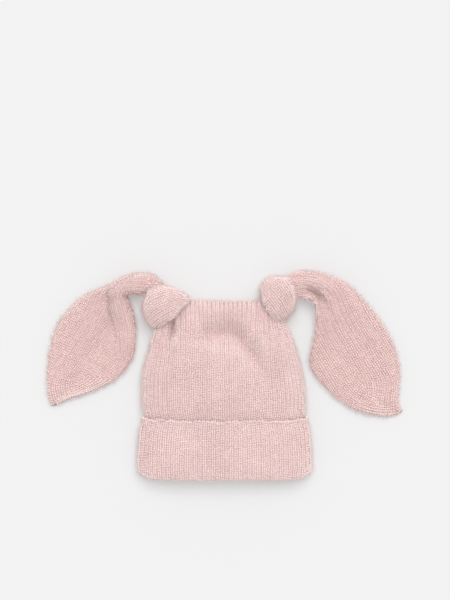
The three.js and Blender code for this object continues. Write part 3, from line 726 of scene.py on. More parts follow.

# %% [markdown]
# ## The yarn's material
#
# Brushed yarn is matt, with a pale bloom where the light grazes its fibres. The Principled shader's
# sheen gives that bloom. The colour is never even: each stitch took the dye a little differently,
# and the fibres break it up in fine streaks. Painted shade makes each stitch darker at its foot and
# the ground between the columns darker still, and painted light makes the yarn paler where the
# cloth turns down.


# %% Mix the yarn's colour, roughness and bump
def blend_colours(tree, share, low, high):
    """Mixes two colours by a share."""
    settings = {"data_type": "RGBA", "clamp_factor": True}
    node = add_node(tree, "ShaderNodeMix", settings, {0: share, 6: low, 7: high})
    return Wire(node.outputs[2])


def linear(red, green, blue):
    """A colour on screen, from 0 to 255, as Blender's linear light."""
    share = np.array([red, green, blue]) / 255
    light = np.where(share <= 0.04045, share / 12.92, ((share + 0.055) / 1.055) ** 2.4)
    return (*light.tolist(), 1.0)


CLOUD_SHARE = 0.4
DYE_SHARE = 1.7
STREAK_SHARE = 0.25
FOOT_SHADE_SHARE = 0.9  # painted shade: a stitch is paler at its top than at its foot, where it meets its neighbours
EDGE_PAINTED_LIGHT = 0.8  # painted light: the yarn is made paler where the cloth turns down, as those sides would lie in shade
SHEEN_PINK = (255, 240, 238)
BUMP_DEPTH = 0.0003  # in metres


def yarn_material(name, pale, deep, stitched=True, sheen=0.25):
    material = bpy.data.materials.new(name)
    material.use_nodes = True
    tree = material.node_tree
    shader = tree.nodes["Principled BSDF"]
    place = Wire(add_node(tree, "ShaderNodeTexCoord").outputs["Object"])

    def noise(scale, detail):
        inputs = {"Vector": place, "Scale": scale, "Detail": detail}
        return Wire(add_node(tree, "ShaderNodeTexNoise", inputs=inputs).outputs["Fac"])

    cloud = noise(28.0, 2.0)  # patches a few centimetres wide
    dye = noise(800.0, 2.0)  # from stitch to stitch
    streaks = noise(2400.0, 3.0)  # single fibres
    share = CLOUD_SHARE * cloud + DYE_SHARE * dye + STREAK_SHARE * streaks - 0.42
    if stitched:
        bulge = add_node(tree, "ShaderNodeAttribute", {"attribute_name": "bulge"})
        height = Wire(bulge.outputs["Fac"])
        # The upward part of each stitch's out direction is the mask of the painted light on the
        # turned-down sides.
        out = add_node(tree, "ShaderNodeAttribute", {"attribute_name": "out"}).outputs["Vector"]
        upward = Wire(add_node(tree, "ShaderNodeSeparateXYZ", inputs={"Vector": out}).outputs["Z"])
        sideways = 1 - upward * upward
        # Painted shade darkens each stitch's foot, and painted light makes the cloth paler where it
        # turns down.
        share = share + FOOT_SHADE_SHARE * height - 0.75 + EDGE_PAINTED_LIGHT * sideways * sideways
    else:
        share = share - 0.3
    tree.links.new(blend_colours(tree, share, deep, pale).socket, shader.inputs["Base Color"])
    tree.links.new((0.86 + 0.12 * streaks).socket, shader.inputs["Roughness"])
    inputs = {"Height": streaks, "Distance": BUMP_DEPTH, "Strength": 0.5}
    bump = add_node(tree, "ShaderNodeBump", inputs=inputs)
    tree.links.new(bump.outputs["Normal"], shader.inputs["Normal"])
    shader.inputs["Sheen Weight"].default_value = sheen
    shader.inputs["Sheen Roughness"].default_value = 0.55
    shader.inputs["Sheen Tint"].default_value = linear(*SHEEN_PINK)
    shader.inputs["Specular IOR Level"].default_value = 0.2
    return material


STITCH_PINKS = (linear(253, 235, 232), linear(218, 185, 184))
EAR_PINKS = (linear(246, 224, 220), linear(220, 186, 183))
# The ground is a darker copy of the stitches' yarn: painted shade for the grooves between the
# columns.
GROUND_SHADE_PINKS = (linear(224, 194, 192), linear(198, 166, 165))
FIBRE_PINKS = (linear(254, 240, 237), linear(246, 222, 219))
stitch_yarn = yarn_material("stitched_yarn", *STITCH_PINKS)
ear_yarn = yarn_material("ear_yarn", *EAR_PINKS)
ground_yarn = yarn_material("ground_yarn", *GROUND_SHADE_PINKS, stitched=False)
fibre_yarn = yarn_material("loose_fibres", *FIBRE_PINKS, stitched=False, sheen=0.6)
print("materials:", [material.name for material in bpy.data.materials])


# %% Give a piece its body and its material, and hide the frame's pieces it replaces
def settle(piece, material=None, replaced=()):
    if material:
        piece.data.materials.clear()
        piece.data.materials.append(material)
    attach(piece, "root")
    if replaced:
        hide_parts(*replaced)
    triangles = sum(len(face.vertices) - 2 for face in piece.data.polygons)
    print(f"{piece.name}: {triangles} triangles")
    return triangles


# %% [markdown]
# Two helpers dress any cloth: one sets stitches on their seats, the other scatters fibres over a
# skin. The hat's own weight presses its lowest yarn flat, so what would reach through the floor is
# pressed together just over it.


# %% Set stitches and fibres on a piece
FIBRE_DENSITY = 0.68  # for each square millimetre of cloth
FIBRE_GAP = 0.3  # the fibres' skin stays this far over the floor
LEAST_LEAN = 0.75  # in radians
MOST_LEAN = 1.45
FLOOR_GAP = 0.1
PRESSED_DEPTH = 0.6  # what lies lower than this over the gap is pressed together


def press_on_floor(piece):
    """Presses together what lies lowest, so that nothing reaches through the floor."""
    places = np.empty(len(piece.data.vertices) * 3)
    piece.data.vertices.foreach_get("co", places)
    deep = np.minimum(places[2::3] / MM - FLOOR_GAP - PRESSED_DEPTH, 0) / PRESSED_DEPTH
    pressed = FLOOR_GAP + PRESSED_DEPTH * np.exp(deep)
    places[2::3] = np.where(deep < 0, pressed * MM, places[2::3])
    piece.data.vertices.foreach_set("co", places)


def set_stitches(name, seats, yarn=stitch_yarn):
    arrays = seats.arrays()
    base = mesh_object(name + "_seats", arrays["place"], [])
    for attribute in ("out", "along", "size"):
        layer = base.data.attributes.new(attribute, "FLOAT_VECTOR", "POINT")
        layer.data.foreach_set("vector", arrays[attribute].ravel())
    piece = grow(name, base, stitch_tree, Stitch=stitch, Yarn=yarn)
    press_on_floor(piece)
    return settle(piece)


def set_fibres(name, points, seed, closed=True):
    """Scatters fibres over an open skin, given as a grid of points."""
    faces = grid_faces(*points.shape[:2], closed=closed)
    base = mesh_object(name + "_skin", points.reshape(-1, 3), faces)
    values = {"Fibre": fibre, "Yarn": fibre_yarn, "Seed": seed, "Density": FIBRE_DENSITY / MM**2}
    piece = grow(name, base, fibre_tree, Least_lean=LEAST_LEAN, Most_lean=MOST_LEAN, **values)
    press_on_floor(piece)
    return settle(piece)


# %% [markdown]
# ## Knit the crown
#
# The crown's cloth is a closed skin with an inside and an outside. It could be one skin with a
# Solidify modifier, but the inside is never seen from near and needs far fewer points. Both are
# socks whose last row is sewn together, back to front, as the real top edge is. The stitches sit on
# the outside, from the cuff's edge upwards, and their tops reach the height of the frame's ribs.

# %% Make the crown's cloth, stitches and fibres
SINK = 0.5  # how far the ground of the cloth lies below the plain surface
RIDGE = 0.35  # the ribs show this much on the inside
STRETCH = 0.18  # how much narrower the stitches are where the cloth is stretched most
STRETCHED_ASIDE = 0.55  # from this share of half the width on
STRETCHED_UP = 0.8  # and from this way up on
triangles = 0


def sewn_sock(points, start=0, flip=False):
    """Points and faces of a sock whose last row is sewn together, back to front."""
    rows, columns = points.shape[:2]
    half = columns // 2
    last = (rows - 1) * columns
    seam = (points[-1] + points[-1, -np.arange(columns)]) / 2
    faces = grid_faces(rows, columns, flip=flip)
    faces = np.where(faces > last + half, 2 * last + columns - faces, faces)
    return np.concatenate([points[:-1].reshape(-1, 3), seam[: half + 1]]), start + faces


def ways_up(even, turns):
    """Even ways up the crown, and then closer ones round its top edge."""
    return np.concatenate([even, mix(TOP_START, 1, np.sin(turns))])


def make_crown():
    columns = section(RIBS * 2)
    even = np.linspace(0, TOP_START, 64, endpoint=False)
    rows = ways_up(even, np.linspace(0, np.pi / 2, 8))
    plain = crown_points(columns, rows)
    normals = outward(plain)
    outer = lay(plain, normals, -SINK, BACK_GAP)
    inner = lay(plain[::2, ::2], normals[::2, ::2], -KNIT_WALL, KNIT_WALL)
    inner_columns = inner.shape[1]
    ridge = np.where(np.arange(inner_columns) % 2, RIDGE, -RIDGE)[None, :, None]
    inner = inner - normals[::2, ::2] * ridge
    outer_points, outer_faces = sewn_sock(outer)
    start = len(outer_points)
    inner_points, inner_faces = sewn_sock(inner, start, flip=True)
    faces = [*outer_faces, *inner_faces]
    for k in range(inner_columns):
        following = (k + 1) % inner_columns
        faces.append((start + k, start + following, 2 * following, 2 * k + 1, 2 * k))
    cloth = mesh_object("crown_cloth", np.concatenate([outer_points, inner_points]), faces)
    count = settle(cloth, ground_yarn, ["crown"])

    wales = section(RIBS, shift=0.5)
    even = np.linspace(CUFF_TOP - 0.01, TOP_START, 220)
    fine = ways_up(even, np.linspace(0.1, np.pi / 2 * 0.98, 16))
    lines = crown_points(wales, fine)
    outs = outward(lines)
    aside = np.abs(lines[..., 0]) / (CROWN_WIDTH / 2)
    at_sides = ease((aside - STRETCHED_ASIDE) / 0.3)
    at_top = ease((fine - STRETCHED_UP) / 0.1)[:, None]
    slim = STRETCH * np.maximum(at_sides, at_top)
    seats = Seats(seed=21)
    seats.add(lay(lines, outs, -SINK, BACK_GAP), outs, column_gaps(lines), slim=slim)
    count += set_stitches("crown_stitches", seats)

    skin = crown_points(section(RIBS), np.linspace(CUFF_TOP, 1, 50))
    count += set_fibres("crown_fibres", keep_over(skin, FIBRE_GAP), seed=3)
    return count


triangles += make_crown()

# %% [markdown]
# ## Turn up the cuff
#
# The cuff is the end of the same tube, folded outwards and up. Its section is a long J: from the
# free edge down the outside, round the bottom fold, and back up under the crown's rim. Folding
# turns the cloth inside out, so its stitches point the other way.

# %% Make the cuff's cloth, stitches and fibres
FOLD_RADIUS = (CUFF_COVER + KNIT_WALL) / 2
EDGE_UP = 0.98  # the cast-off stitches sit this high up the cuff
EDGE_SINK = 0.3  # and this far under its outside
EDGE_WIDTH = 5.2  # they are this wide
EDGE_LEAN = 0.3  # they lean back over the edge
EDGE_STRAY = 1.3  # and stand higher or lower by up to this much
INSIDE_GAP = KNIT_WALL * 0.9  # the cuff's inner skin stays this far over the floor
RIM_ROWS = 12  # enough to read the directions of the crown's plain surface from


def cuff_path(start_up, steps, bend_steps, depth):
    """up, out and down along the J, for a layer that lies a depth under the outside."""
    up = np.concatenate([np.linspace(start_up, 0, steps), np.zeros(bend_steps)])
    bend = np.concatenate([np.zeros(steps), np.linspace(0, np.pi, bend_steps + 1)[1:]])
    radius = FOLD_RADIUS - depth
    out = CUFF_COVER - FOLD_RADIUS + radius * np.cos(bend)
    down = radius * np.sin(bend) * (KNIT_WALL + CLEARANCE) / FOLD_RADIUS
    return up, out, down


def cuff_points(columns, path):
    up, out, down = path
    plain = crown_points(columns, up * CUFF_TOP)
    plain_out = outward(crown_points(columns, np.linspace(0, CUFF_TOP, RIM_ROWS)))
    place = np.clip(up * (RIM_ROWS - 1), 0, RIM_ROWS - 1.001)
    row = place.astype(int)
    normals = unit(mix(plain_out[row], plain_out[row + 1], (place - row)[:, None, None]))
    points = plain + normals * out[:, None, None]
    points[..., 1] -= down[:, None]
    return points


def make_cuff():
    columns = section(RIBS * 2)
    outside = keep_over(cuff_points(columns, cuff_path(0.99, 26, 10, SINK)), BACK_GAP)
    inside = keep_over(cuff_points(columns, cuff_path(0.99, 26, 10, KNIT_WALL)), INSIDE_GAP)
    points = np.concatenate([outside, inside[::-1]])
    cloth = mesh_object("cuff_cloth", points.reshape(-1, 3), ring_faces(*points.shape[:2], flip=True))
    count = settle(cloth, ground_yarn, ["cuff"])

    wales = section(RIBS, shift=0.5)
    lines = cuff_points(wales, cuff_path(0.985, 60, 24, SINK))
    outs = -outward(lines)
    pitch = column_gaps(lines)
    keep_over(lines, BACK_GAP)
    seats = Seats(seed=22)
    seats.add(lines, outs, pitch)
    rim = cuff_points(wales, (np.array([EDGE_UP]), np.array([CUFF_COVER]), np.array([0.0])))
    upward = unit(lines[0] - lines[1])
    stray = np.linspace(-EDGE_STRAY, EDGE_STRAY, 3)[:, None, None]
    edge = rim - outs[0] * EDGE_SINK + upward * stray
    edge_out = np.broadcast_to(unit(outs[0] + EDGE_LEAN * upward), edge.shape)
    seats.add(edge, edge_out, np.full(edge.shape[:2], EDGE_WIDTH))
    count += set_stitches("cuff_stitches", seats)

    skin = keep_over(cuff_points(section(RIBS), cuff_path(1.0, 24, 8, 0)), FIBRE_GAP)
    count += set_fibres("cuff_fibres", skin[::-1], seed=5)
    return count


triangles += make_cuff()

# %% [markdown]
# ## Tie the knots
#
# Each knot is the ear's own cloth, wound once around its neck: a fat ring that is wider at the side
# of the head than at the side of the top. Its stitches run round the ring. The right knot is the
# left one's mirror image, which would turn its faces inside out, so `knot_outward` tells whether a
# grid runs the wrong way, and its faces are then turned round.


# %% Make a knot's cloth, stitches and fibres
BAND_FULLNESS = 0.6  # the lower, the fuller the knot's shoulders
BAND_REACH = 1.57  # the stitches go this far round the band's outside, in radians


def knot_points(knot, turns, arounds):
    turn, around = np.meshgrid(turns, arounds, indexing="ij")
    c, s = np.cos(turn), np.sin(turn)
    near, far = (knot.width / 2 * read(knot.rows, "end", edge, c) for edge in ("near", "far"))
    swell = np.maximum(np.cos(around), 0) ** BAND_FULLNESS
    across_by = c * mix(THROAT_WIDTH / 2 + RIB_HEIGHT + CLEARANCE, knot.length / 2, swell)
    up_by = s * mix(THROAT_HEIGHT / 2 + RIB_HEIGHT + CLEARANCE, KNOT_HEIGHT / 2, swell)
    plan = knot.place(across_by, mix(near, far, (1 + np.sin(around)) / 2))
    return np.concatenate([plan, KNOT_HEIGHT / 2 + up_by[..., None]], axis=-1)


def knot_outward(knot, points, closed=True):
    """The direction away from the ring's own core, and whether the grid runs the other way."""
    normals = outward(points, closed)
    ring = np.linspace(0, 2 * np.pi, len(points), endpoint=False)
    core = knot_points(knot, ring, np.array([np.pi / 2, -np.pi / 2]))
    away = points - core.mean(axis=1, keepdims=True)
    mirrored = (away * normals).sum(axis=-1).mean() < 0
    return (-normals if mirrored else normals), mirrored


def make_knot(name, knot, seed):
    turns = np.linspace(0, 2 * np.pi, 96, endpoint=False)
    arounds = np.linspace(0, 2 * np.pi, 40, endpoint=False)
    points = knot_points(knot, turns, arounds)
    normals, mirrored = knot_outward(knot, points)
    cloth_points = lay(points, normals, -SINK, BACK_GAP)
    faces = ring_faces(len(turns), len(arounds), flip=mirrored)
    cloth = mesh_object(name + "_cloth", cloth_points.reshape(-1, 3), faces)
    count = settle(cloth, ground_yarn, [name])

    across = np.linspace(-BAND_REACH, BAND_REACH, 121)
    rings = np.linspace(0, 2 * np.pi, 241)
    crest = knot_points(knot, rings, across)[60]
    length = walked(crest)
    wales = int(length[-1] / RIB_PITCH)
    wanted = (np.arange(wales) + 0.5) / wales * length[-1]
    lines = knot_points(knot, rings, np.interp(wanted, length, across))
    outs, _ = knot_outward(knot, lines, closed=False)
    pitch = np.linalg.norm(np.gradient(lines, axis=1), axis=-1)
    seats = Seats(seed)
    seats.add(lay(lines, outs, -SINK, BACK_GAP), outs, pitch)
    count += set_stitches(name + "_stitches", seats)

    skin = knot_points(knot, np.linspace(0, 2 * np.pi, 60), np.linspace(-1.5, 1.5, 24))
    if knot_outward(knot, skin, closed=False)[1]:
        skin = skin[:, ::-1]
    keep_over(skin, FIBRE_GAP)
    count += set_fibres(name + "_fibres", skin, seed, closed=False)
    return count


triangles += make_knot("knot_left", left_knot, seed=7)
triangles += make_knot("knot_right", right_knot, seed=9)

# %% [markdown]
# ## Shape the ears
#
# An ear is a long flat leaf of two layers, drawn together into a rope where it enters its knot. A
# table gives its two edges from the knot to the tip. rise says how far a section still stands at
# the knot's height. roll and crest shape the edge that has rolled over the left ear's front, and the
# hollow where the right ear turns. pleat is the depth of the small folds that fan out there.

# %% Write down the left ear's sections
EAR_COLUMNS = "at inX inY outX outY rise thick roll crest pleat"
LEFT_EAR = table(
    EAR_COLUMNS,
    (0.00, 0.079, 0.046, -0.079, -0.046, 1.00, 1.00, 0.40, 0.00, 0.00),
    (0.07, 0.113, -0.032, -0.045, -0.124, 1.00, 1.00, 0.40, 0.00, 0.00),
    (0.13, 0.136, -0.105, 0.004, -0.186, 1.02, 1.00, 0.40, 0.00, 0.00),
    (0.19, 0.200, -0.104, 0.100, -0.295, 1.04, 1.00, 0.70, 0.00, 0.00),
    (0.25, 0.285, -0.100, 0.245, -0.298, 1.00, 1.00, 0.88, 0.06, 0.00),
    (0.31, 0.328, -0.098, 0.370, -0.255, 0.85, 1.05, 0.86, 0.26, 0.02),
    (0.36, 0.327, -0.080, 0.520, -0.165, 0.50, 1.10, 0.70, 0.55, 0.05),
    (0.42, 0.310, -0.035, 0.680, -0.085, 0.22, 1.15, 0.42, 0.62, 0.06),
    (0.48, 0.282, 0.045, 0.820, 0.055, 0.08, 1.15, 0.34, 0.58, 0.06),
    (0.54, 0.256, 0.160, 0.915, 0.195, 0.02, 1.10, 0.27, 0.47, 0.05),
    (0.61, 0.252, 0.310, 0.965, 0.370, 0.00, 1.05, 0.22, 0.33, 0.03),
    (0.68, 0.270, 0.480, 0.990, 0.525, 0.00, 1.00, 0.18, 0.16, 0.02),
    (0.75, 0.318, 0.620, 1.000, 0.645, 0.00, 1.00, 0.16, 0.04, 0.00),
    (0.82, 0.420, 0.735, 0.998, 0.755, 0.00, 1.00, 0.16, 0.00, 0.00),
    (0.89, 0.610, 0.840, 0.990, 0.865, 0.00, 0.95, 0.20, 0.00, 0.00),
    (0.95, 0.800, 0.910, 0.975, 0.942, 0.00, 0.85, 0.30, 0.00, 0.00),
    (1.00, 0.938, 0.990, 0.955, 0.998, 0.00, 0.50, 0.40, 0.00, 0.00),
)

# %% Write down the right ear's sections
RIGHT_EAR = table(
    EAR_COLUMNS,
    (0.00, 0.063, 0.058, -0.063, -0.058, 1.00, 1.00, 0.40, 0.00, 0.00),
    (0.07, 0.118, 0.020, -0.005, -0.114, 1.00, 1.00, 0.40, 0.00, 0.00),
    (0.13, 0.172, 0.005, 0.060, -0.162, 1.03, 1.00, 0.50, -0.05, 0.02),
    (0.19, 0.218, 0.018, 0.165, -0.212, 1.06, 1.00, 0.58, -0.25, 0.04),
    (0.25, 0.260, 0.036, 0.285, -0.212, 1.02, 1.00, 0.60, -0.62, 0.06),
    (0.31, 0.286, 0.068, 0.420, -0.170, 0.88, 1.10, 0.54, -0.62, 0.08),
    (0.37, 0.296, 0.135, 0.545, -0.112, 0.64, 1.20, 0.44, -0.22, 0.10),
    (0.43, 0.297, 0.220, 0.645, -0.015, 0.40, 1.25, 0.40, -0.04, 0.10),
    (0.50, 0.286, 0.330, 0.745, 0.105, 0.20, 1.20, 0.40, 0.00, 0.08),
    (0.57, 0.260, 0.450, 0.830, 0.225, 0.07, 1.15, 0.40, 0.00, 0.05),
    (0.64, 0.244, 0.545, 0.905, 0.355, 0.00, 1.10, 0.40, 0.00, 0.03),
    (0.71, 0.278, 0.645, 0.950, 0.490, 0.00, 1.05, 0.40, 0.00, 0.00),
    (0.78, 0.360, 0.750, 0.972, 0.610, 0.00, 1.00, 0.40, 0.00, 0.00),
    (0.85, 0.475, 0.860, 0.966, 0.745, 0.00, 1.00, 0.40, 0.00, 0.00),
    (0.91, 0.640, 0.960, 0.951, 0.860, 0.00, 0.95, 0.40, 0.00, 0.00),
    (0.96, 0.840, 1.000, 0.965, 0.930, 0.00, 0.80, 0.40, 0.00, 0.00),
    (1.00, 0.982, 0.980, 0.992, 0.965, 0.00, 0.50, 0.40, 0.00, 0.00),
)

# %% Turn a share of the width and a way along into a point of an ear
NECK_ROUNDNESS = 2.0
LEAF_ROUNDNESS = 7.0
PLEATS = 4.5
PLEATED_SHARE = 0.75  # the share of the width that is pleated
NECK_START = 0.006


class Ear:
    """An ear's sections with the sizes of its swing sideways and its drop from the knot."""

    def __init__(self, rows, knot, swing, drop, grain, strip):
        """grain: the way the columns run, in degrees; strip: how many run along a rolled edge."""
        self.rows, self.knot, self.swing, self.drop = rows, knot, swing, drop
        self.grain, self.strip = grain, strip

    def points(self, share, at, front):
        get = {name: read(self.rows, "at", name, at) for name in self.rows if name != "at"}
        x = self.knot.middle[0] + self.knot.side * self.swing * mix(get["inX"], get["outX"], share)
        y = self.knot.middle[1] - self.drop * mix(get["inY"], get["outY"], share)
        under = THROAT_UNDER * np.clip(get["rise"], 0, 1)
        over = mix(EAR_THICKNESS * get["thick"], THROAT_OVER, get["rise"])
        fold = mix(under, over, 0.5)
        roundness = mix(LEAF_ROUNDNESS, NECK_ROUNDNESS, np.clip(get["rise"] * 1.5, 0, 1))
        lift = np.sqrt(np.maximum(1 - np.abs(2 * share - 1) ** roundness, 0))
        if not front:
            return np.stack([x, y, fold + (under - fold) * lift], axis=-1)
        rolled = np.sqrt(np.maximum(1 - (2 * share / get["roll"] - 1) ** 2, 0))
        sunken = np.sin(np.pi * share / get["roll"]) ** 2
        over_roll = np.where(get["crest"] < 0, sunken, rolled)
        crest = get["crest"] * (THROAT_OVER - EAR_THICKNESS) * over_roll
        crest = np.where(share < get["roll"], crest, 0)
        pleated = np.sin(np.pi * np.clip(share / PLEATED_SHARE, 0, 1))
        pleat = get["pleat"] * EAR_THICKNESS * np.cos(2 * np.pi * PLEATS * share) * pleated
        return np.stack([x, y, fold + (over - fold) * lift + crest + pleat], axis=-1)


left_ear = Ear(LEFT_EAR, left_knot, swing=118.8, drop=102.6, grain=56, strip=7)
right_ear = Ear(RIGHT_EAR, right_knot, swing=125.9, drop=119.4, grain=121, strip=0)

# %% [markdown]
# In the leaf the columns of stitches run straight, all the same way, and the leaf's edges cut them
# off. Towards the knot they draw together evenly. Near the tip the leaf is narrowed by taking
# stitches away along its middle, so there the columns run beside the two edges and meet in a seam.
# The rolled edge of the left ear has columns of its own, that run along it.

# %% Choose where an ear's columns run
FAN_START = 0.22  # from here to FAN_END along the ear the columns straighten
FAN_END = 0.5
SEAM_START = 0.82
SEAM_NARROWING = 0.9
EXTRA_COLUMNS = 8  # on each side, cut off by the edges before the seam starts
EDGE_MARGIN = 0.004  # a column ends this close to the edge, as a share of the width


def smooth_rows(values, reach=9):
    """Averages each value with its neighbours along the columns."""
    padded = np.pad(values, ((reach, reach), (0, 0)), mode="edge")
    return sum(padded[k : k + len(values)] for k in range(2 * reach + 1)) / (2 * reach + 1)


def leaf_shares(ear, at, share, grid):
    """The share of the width at which each column runs, and where it is alive."""
    step = np.linalg.norm(np.diff(grid, axis=1), axis=-1)
    length = np.concatenate([np.zeros((len(at), 1)), np.cumsum(step, axis=1)], axis=1)
    total = length[:, -1]
    turn = np.radians(ear.grain)
    across = grid[..., :2] @ np.array([np.sin(turn), -np.cos(turn)])
    inner, outer = across[:, :1], across[:, -1:]
    seam = int(np.searchsorted(at[:, 0], SEAM_START))
    count = int(max(abs(outer - inner)[seam, 0], total[seam] * SEAM_NARROWING) / RIB_PITCH)
    parts = (np.arange(-EXTRA_COLUMNS, count + EXTRA_COLUMNS) + 0.5) / count
    outside = (parts < 0) | (parts > 1)
    even = np.empty((len(at), len(parts)))
    beside = np.empty_like(even)
    middle = np.empty_like(at)
    for row in range(len(at)):
        even[row] = np.where(outside, parts, np.interp(parts * total[row], length[row], share[0]))
        from_outer = total[row] - (1 - parts) * total[seam]
        from_edge = np.where(parts < 0.5, parts * total[seam], from_outer)
        beside[row] = np.interp(from_edge, length[row], share[0])
        middle[row] = np.interp(total[row] / 2, length[row], share[0])
    straight = (mix(inner[seam], outer[seam], even[seam]) - inner) / (outer - inner)
    fanned = mix(even, straight, ease((at - FAN_START) / (FAN_END - FAN_START)))
    chosen = np.where(at < SEAM_START, fanned, beside)
    crossed = np.where(parts < 0.5, chosen > middle, chosen < middle)
    past_seam = (crossed | outside) & (at >= SEAM_START)
    chosen = smooth_rows(chosen)
    alive = (chosen > EDGE_MARGIN) & (chosen < 1 - EDGE_MARGIN) & ~past_seam
    return np.clip(chosen, 0, 1), alive


# %% Follow the columns over one side of an ear
STRIP_START = 0.13  # where the rolled edge's own columns begin
STRIP_END = 0.71  # and where they end
STRIP_GAP = 0.02
PLEAT_MOST = 0.1
PLEAT_STRETCH = 0.28  # how much narrower the stitches are on the deepest pleats


def up_facing(normals, front):
    sign = np.sign(normals[..., 2].mean()) * (1 if front else -1)
    return normals * sign


def pick_normals(normals, share, chosen):
    """The directions at the chosen shares of each row, out of those of a whole grid."""
    picked = np.empty((*chosen.shape, 3))
    for row in range(len(chosen)):
        for axis in range(3):
            picked[row, :, axis] = np.interp(chosen[row], share[0], normals[row, :, axis])
    return picked


def ear_lines(ear, front):
    """Columns of stitches on one side of an ear, with their directions and distances."""
    at = np.linspace(NECK_START, 0.995, 260)[:, None]
    share = (1 - np.cos(np.linspace(0, np.pi, 181)))[None, :] / 2
    grid = ear.points(share, at, front)
    normals = up_facing(outward(grid, closed=False), front)
    chosen, alive = leaf_shares(ear, at, share, grid)
    sheets = [(chosen, alive, 0.0)]
    if front and ear.strip:
        roll = read(ear.rows, "at", "roll", at)
        strip = np.maximum(roll, 1 - ease((at - STRIP_START) / 0.12))
        strip = np.where(at < STRIP_END, strip, 0)
        sheets[0] = (chosen, alive & (chosen > strip + STRIP_GAP), 0.0)
        parts = (1 - np.cos(np.pi * (np.arange(ear.strip) + 0.5)[None, :] / ear.strip)) / 2
        sheets.append((strip * parts, np.broadcast_to(strip > 0, (len(at), ear.strip)), 1.0))
    for chosen, alive, upward in sheets:
        lines = ear.points(chosen, at, front)
        outs = unit(pick_normals(normals, share, chosen) + [0, 0, upward])
        along = unit(np.gradient(lines, axis=0))
        pitch = np.linalg.norm(np.cross(np.gradient(lines, axis=1), along), axis=-1)
        beyond = (at >= SEAM_START - 0.02) | ~alive
        pleats = read(ear.rows, "at", "pleat", at) / PLEAT_MOST * (chosen < PLEATED_SHARE)
        yield lines, outs, np.where(beyond, RIB_PITCH, pitch), alive, PLEAT_STRETCH * pleats


# %% Make an ear's cloth, stitches and fibres
INNER_COLUMNS = slice(10, 55)  # of the front, clear of the ear's edges


def make_ear(name, ear, seed):
    at = np.linspace(NECK_START, 1, 150)[:, None]
    front_share = (1 - np.cos(np.linspace(0, np.pi, 65)))[None, :] / 2
    back_share = front_share[:, 1:-1:2][:, ::-1]
    front, back = ear.points(front_share, at, True), ear.points(back_share, at, False)
    ring = np.concatenate([front, back], axis=1)
    normals = outward(ring)
    sign = int(np.sign(normals[:, INNER_COLUMNS, 2].mean()))
    cloth_points = lay(ring, normals * sign, -SINK, BACK_GAP)
    rows, columns = cloth_points.shape[:2]
    first_row = np.arange(columns)
    last_row = first_row + (rows - 1) * columns
    faces = [*grid_faces(rows, columns, flip=sign < 0), first_row[::-sign], last_row[::sign]]
    cloth = mesh_object(name + "_cloth", cloth_points.reshape(-1, 3), faces)
    count = settle(cloth, ground_yarn, [name])

    seats = Seats(seed)
    for side in (True, False):
        for lines, outs, pitch, alive, slim in ear_lines(ear, side):
            seats.add(lay(lines, outs, -SINK, BACK_GAP), outs, pitch, alive, slim)
    count += set_stitches(name + "_stitches", seats, ear_yarn)

    skin = keep_over(ring[::3, ::2][:, ::sign], FIBRE_GAP)
    count += set_fibres(name + "_fibres", skin, seed)
    return count


triangles += make_ear("ear_left", left_ear, seed=11)
triangles += make_ear("ear_right", right_ear, seed=13)
print("triangles in all:", triangles)

# %% Remove the patterns
for pattern in (stitch, fibre):
    bpy.data.objects.remove(pattern)

# %% [markdown]
# ## Floor, light and camera
#
# The hat lies on a pale floor in the light of a bright, even studio. A white world fills the
# shadows, and one very soft sun from beyond the top edge gives the knit its relief. The camera
# looks straight down from far away, so that one millimetre on the floor is one pixel.


# %% Lay the floor
FLOOR_REACH = 2500.0
FLOOR_GREY = 0.45
FLOOR_GLOW = 0.335  # fills the shadows on it, as the light of a white studio does


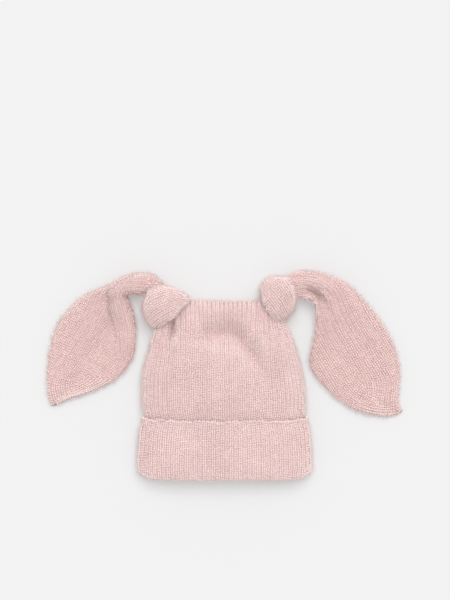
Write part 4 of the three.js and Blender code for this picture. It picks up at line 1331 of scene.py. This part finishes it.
def make_floor():
    half = FLOOR_REACH
    corners = [(-half, -half, 0), (half, -half, 0), (half, half, 0), (-half, half, 0)]
    floor = mesh_object("floor", corners, [(0, 1, 2, 3)])
    material = bpy.data.materials.new("studio_floor")
    material.use_nodes = True
    shader = material.node_tree.nodes["Principled BSDF"]
    shader.inputs["Base Color"].default_value = (FLOOR_GREY, FLOOR_GREY, FLOOR_GREY, 1)
    shader.inputs["Emission Color"].default_value = (1, 1, 1, 1)
    shader.inputs["Emission Strength"].default_value = FLOOR_GLOW
    shader.inputs["Roughness"].default_value = 1.0
    shader.inputs["Specular IOR Level"].default_value = 0.0
    floor.data.materials.append(material)


make_floor()

# %% Light it
SUN_FROM = Vector((0.1, 0.48, 1.0))
SUN_STRENGTH = 1.92
SUN_WIDTH = 42.0  # degrees
WORLD_STRENGTH = 0.69


def make_light():
    sun = bpy.data.objects.new("soft_sun", bpy.data.lights.new("soft_sun", "SUN"))
    sun.data.energy = SUN_STRENGTH
    sun.data.angle = np.radians(SUN_WIDTH)
    sun.rotation_euler = SUN_FROM.to_track_quat("Z", "Y").to_euler()
    bpy.context.scene.collection.objects.link(sun)
    world = bpy.data.worlds.new("studio")
    world.use_nodes = True
    background = world.node_tree.nodes["Background"]
    background.inputs["Color"].default_value = (1, 1, 1, 1)
    background.inputs["Strength"].default_value = WORLD_STRENGTH
    bpy.context.scene.world = world


make_light()
bpy.context.scene.view_settings.view_transform = "Standard"

# %% Set up the camera
FRAME_WIDTH, FRAME_HEIGHT = 450.0, 600.0
MIDDLE_X_PX = 224.8  # the pixel column over the origin
ORIGIN_Y_PX = 390.1  # the pixel row over the origin
CAMERA_HEIGHT = 1812.0
CAMERA_REACH = 20.0  # metres
SCALE_HEIGHT = 12.0  # the height over the floor at which a pixel is a millimetre
SENSOR = 36.0


def make_camera():
    camera = bpy.data.objects.new("camera", bpy.data.cameras.new("camera"))
    camera.data.sensor_width = SENSOR
    camera.data.lens = SENSOR * (CAMERA_HEIGHT - SCALE_HEIGHT) / FRAME_HEIGHT
    camera.data.clip_end = CAMERA_REACH
    x = FRAME_WIDTH / 2 - MIDDLE_X_PX
    y = ORIGIN_Y_PX - FRAME_HEIGHT / 2
    camera.location = (x * MM, y * MM, CAMERA_HEIGHT * MM)
    bpy.context.scene.collection.objects.link(camera)
    bpy.context.scene.camera = camera
    print(f"lens {camera.data.lens:.0f} mm, {CAMERA_HEIGHT:.0f} mm over the floor")


make_camera()
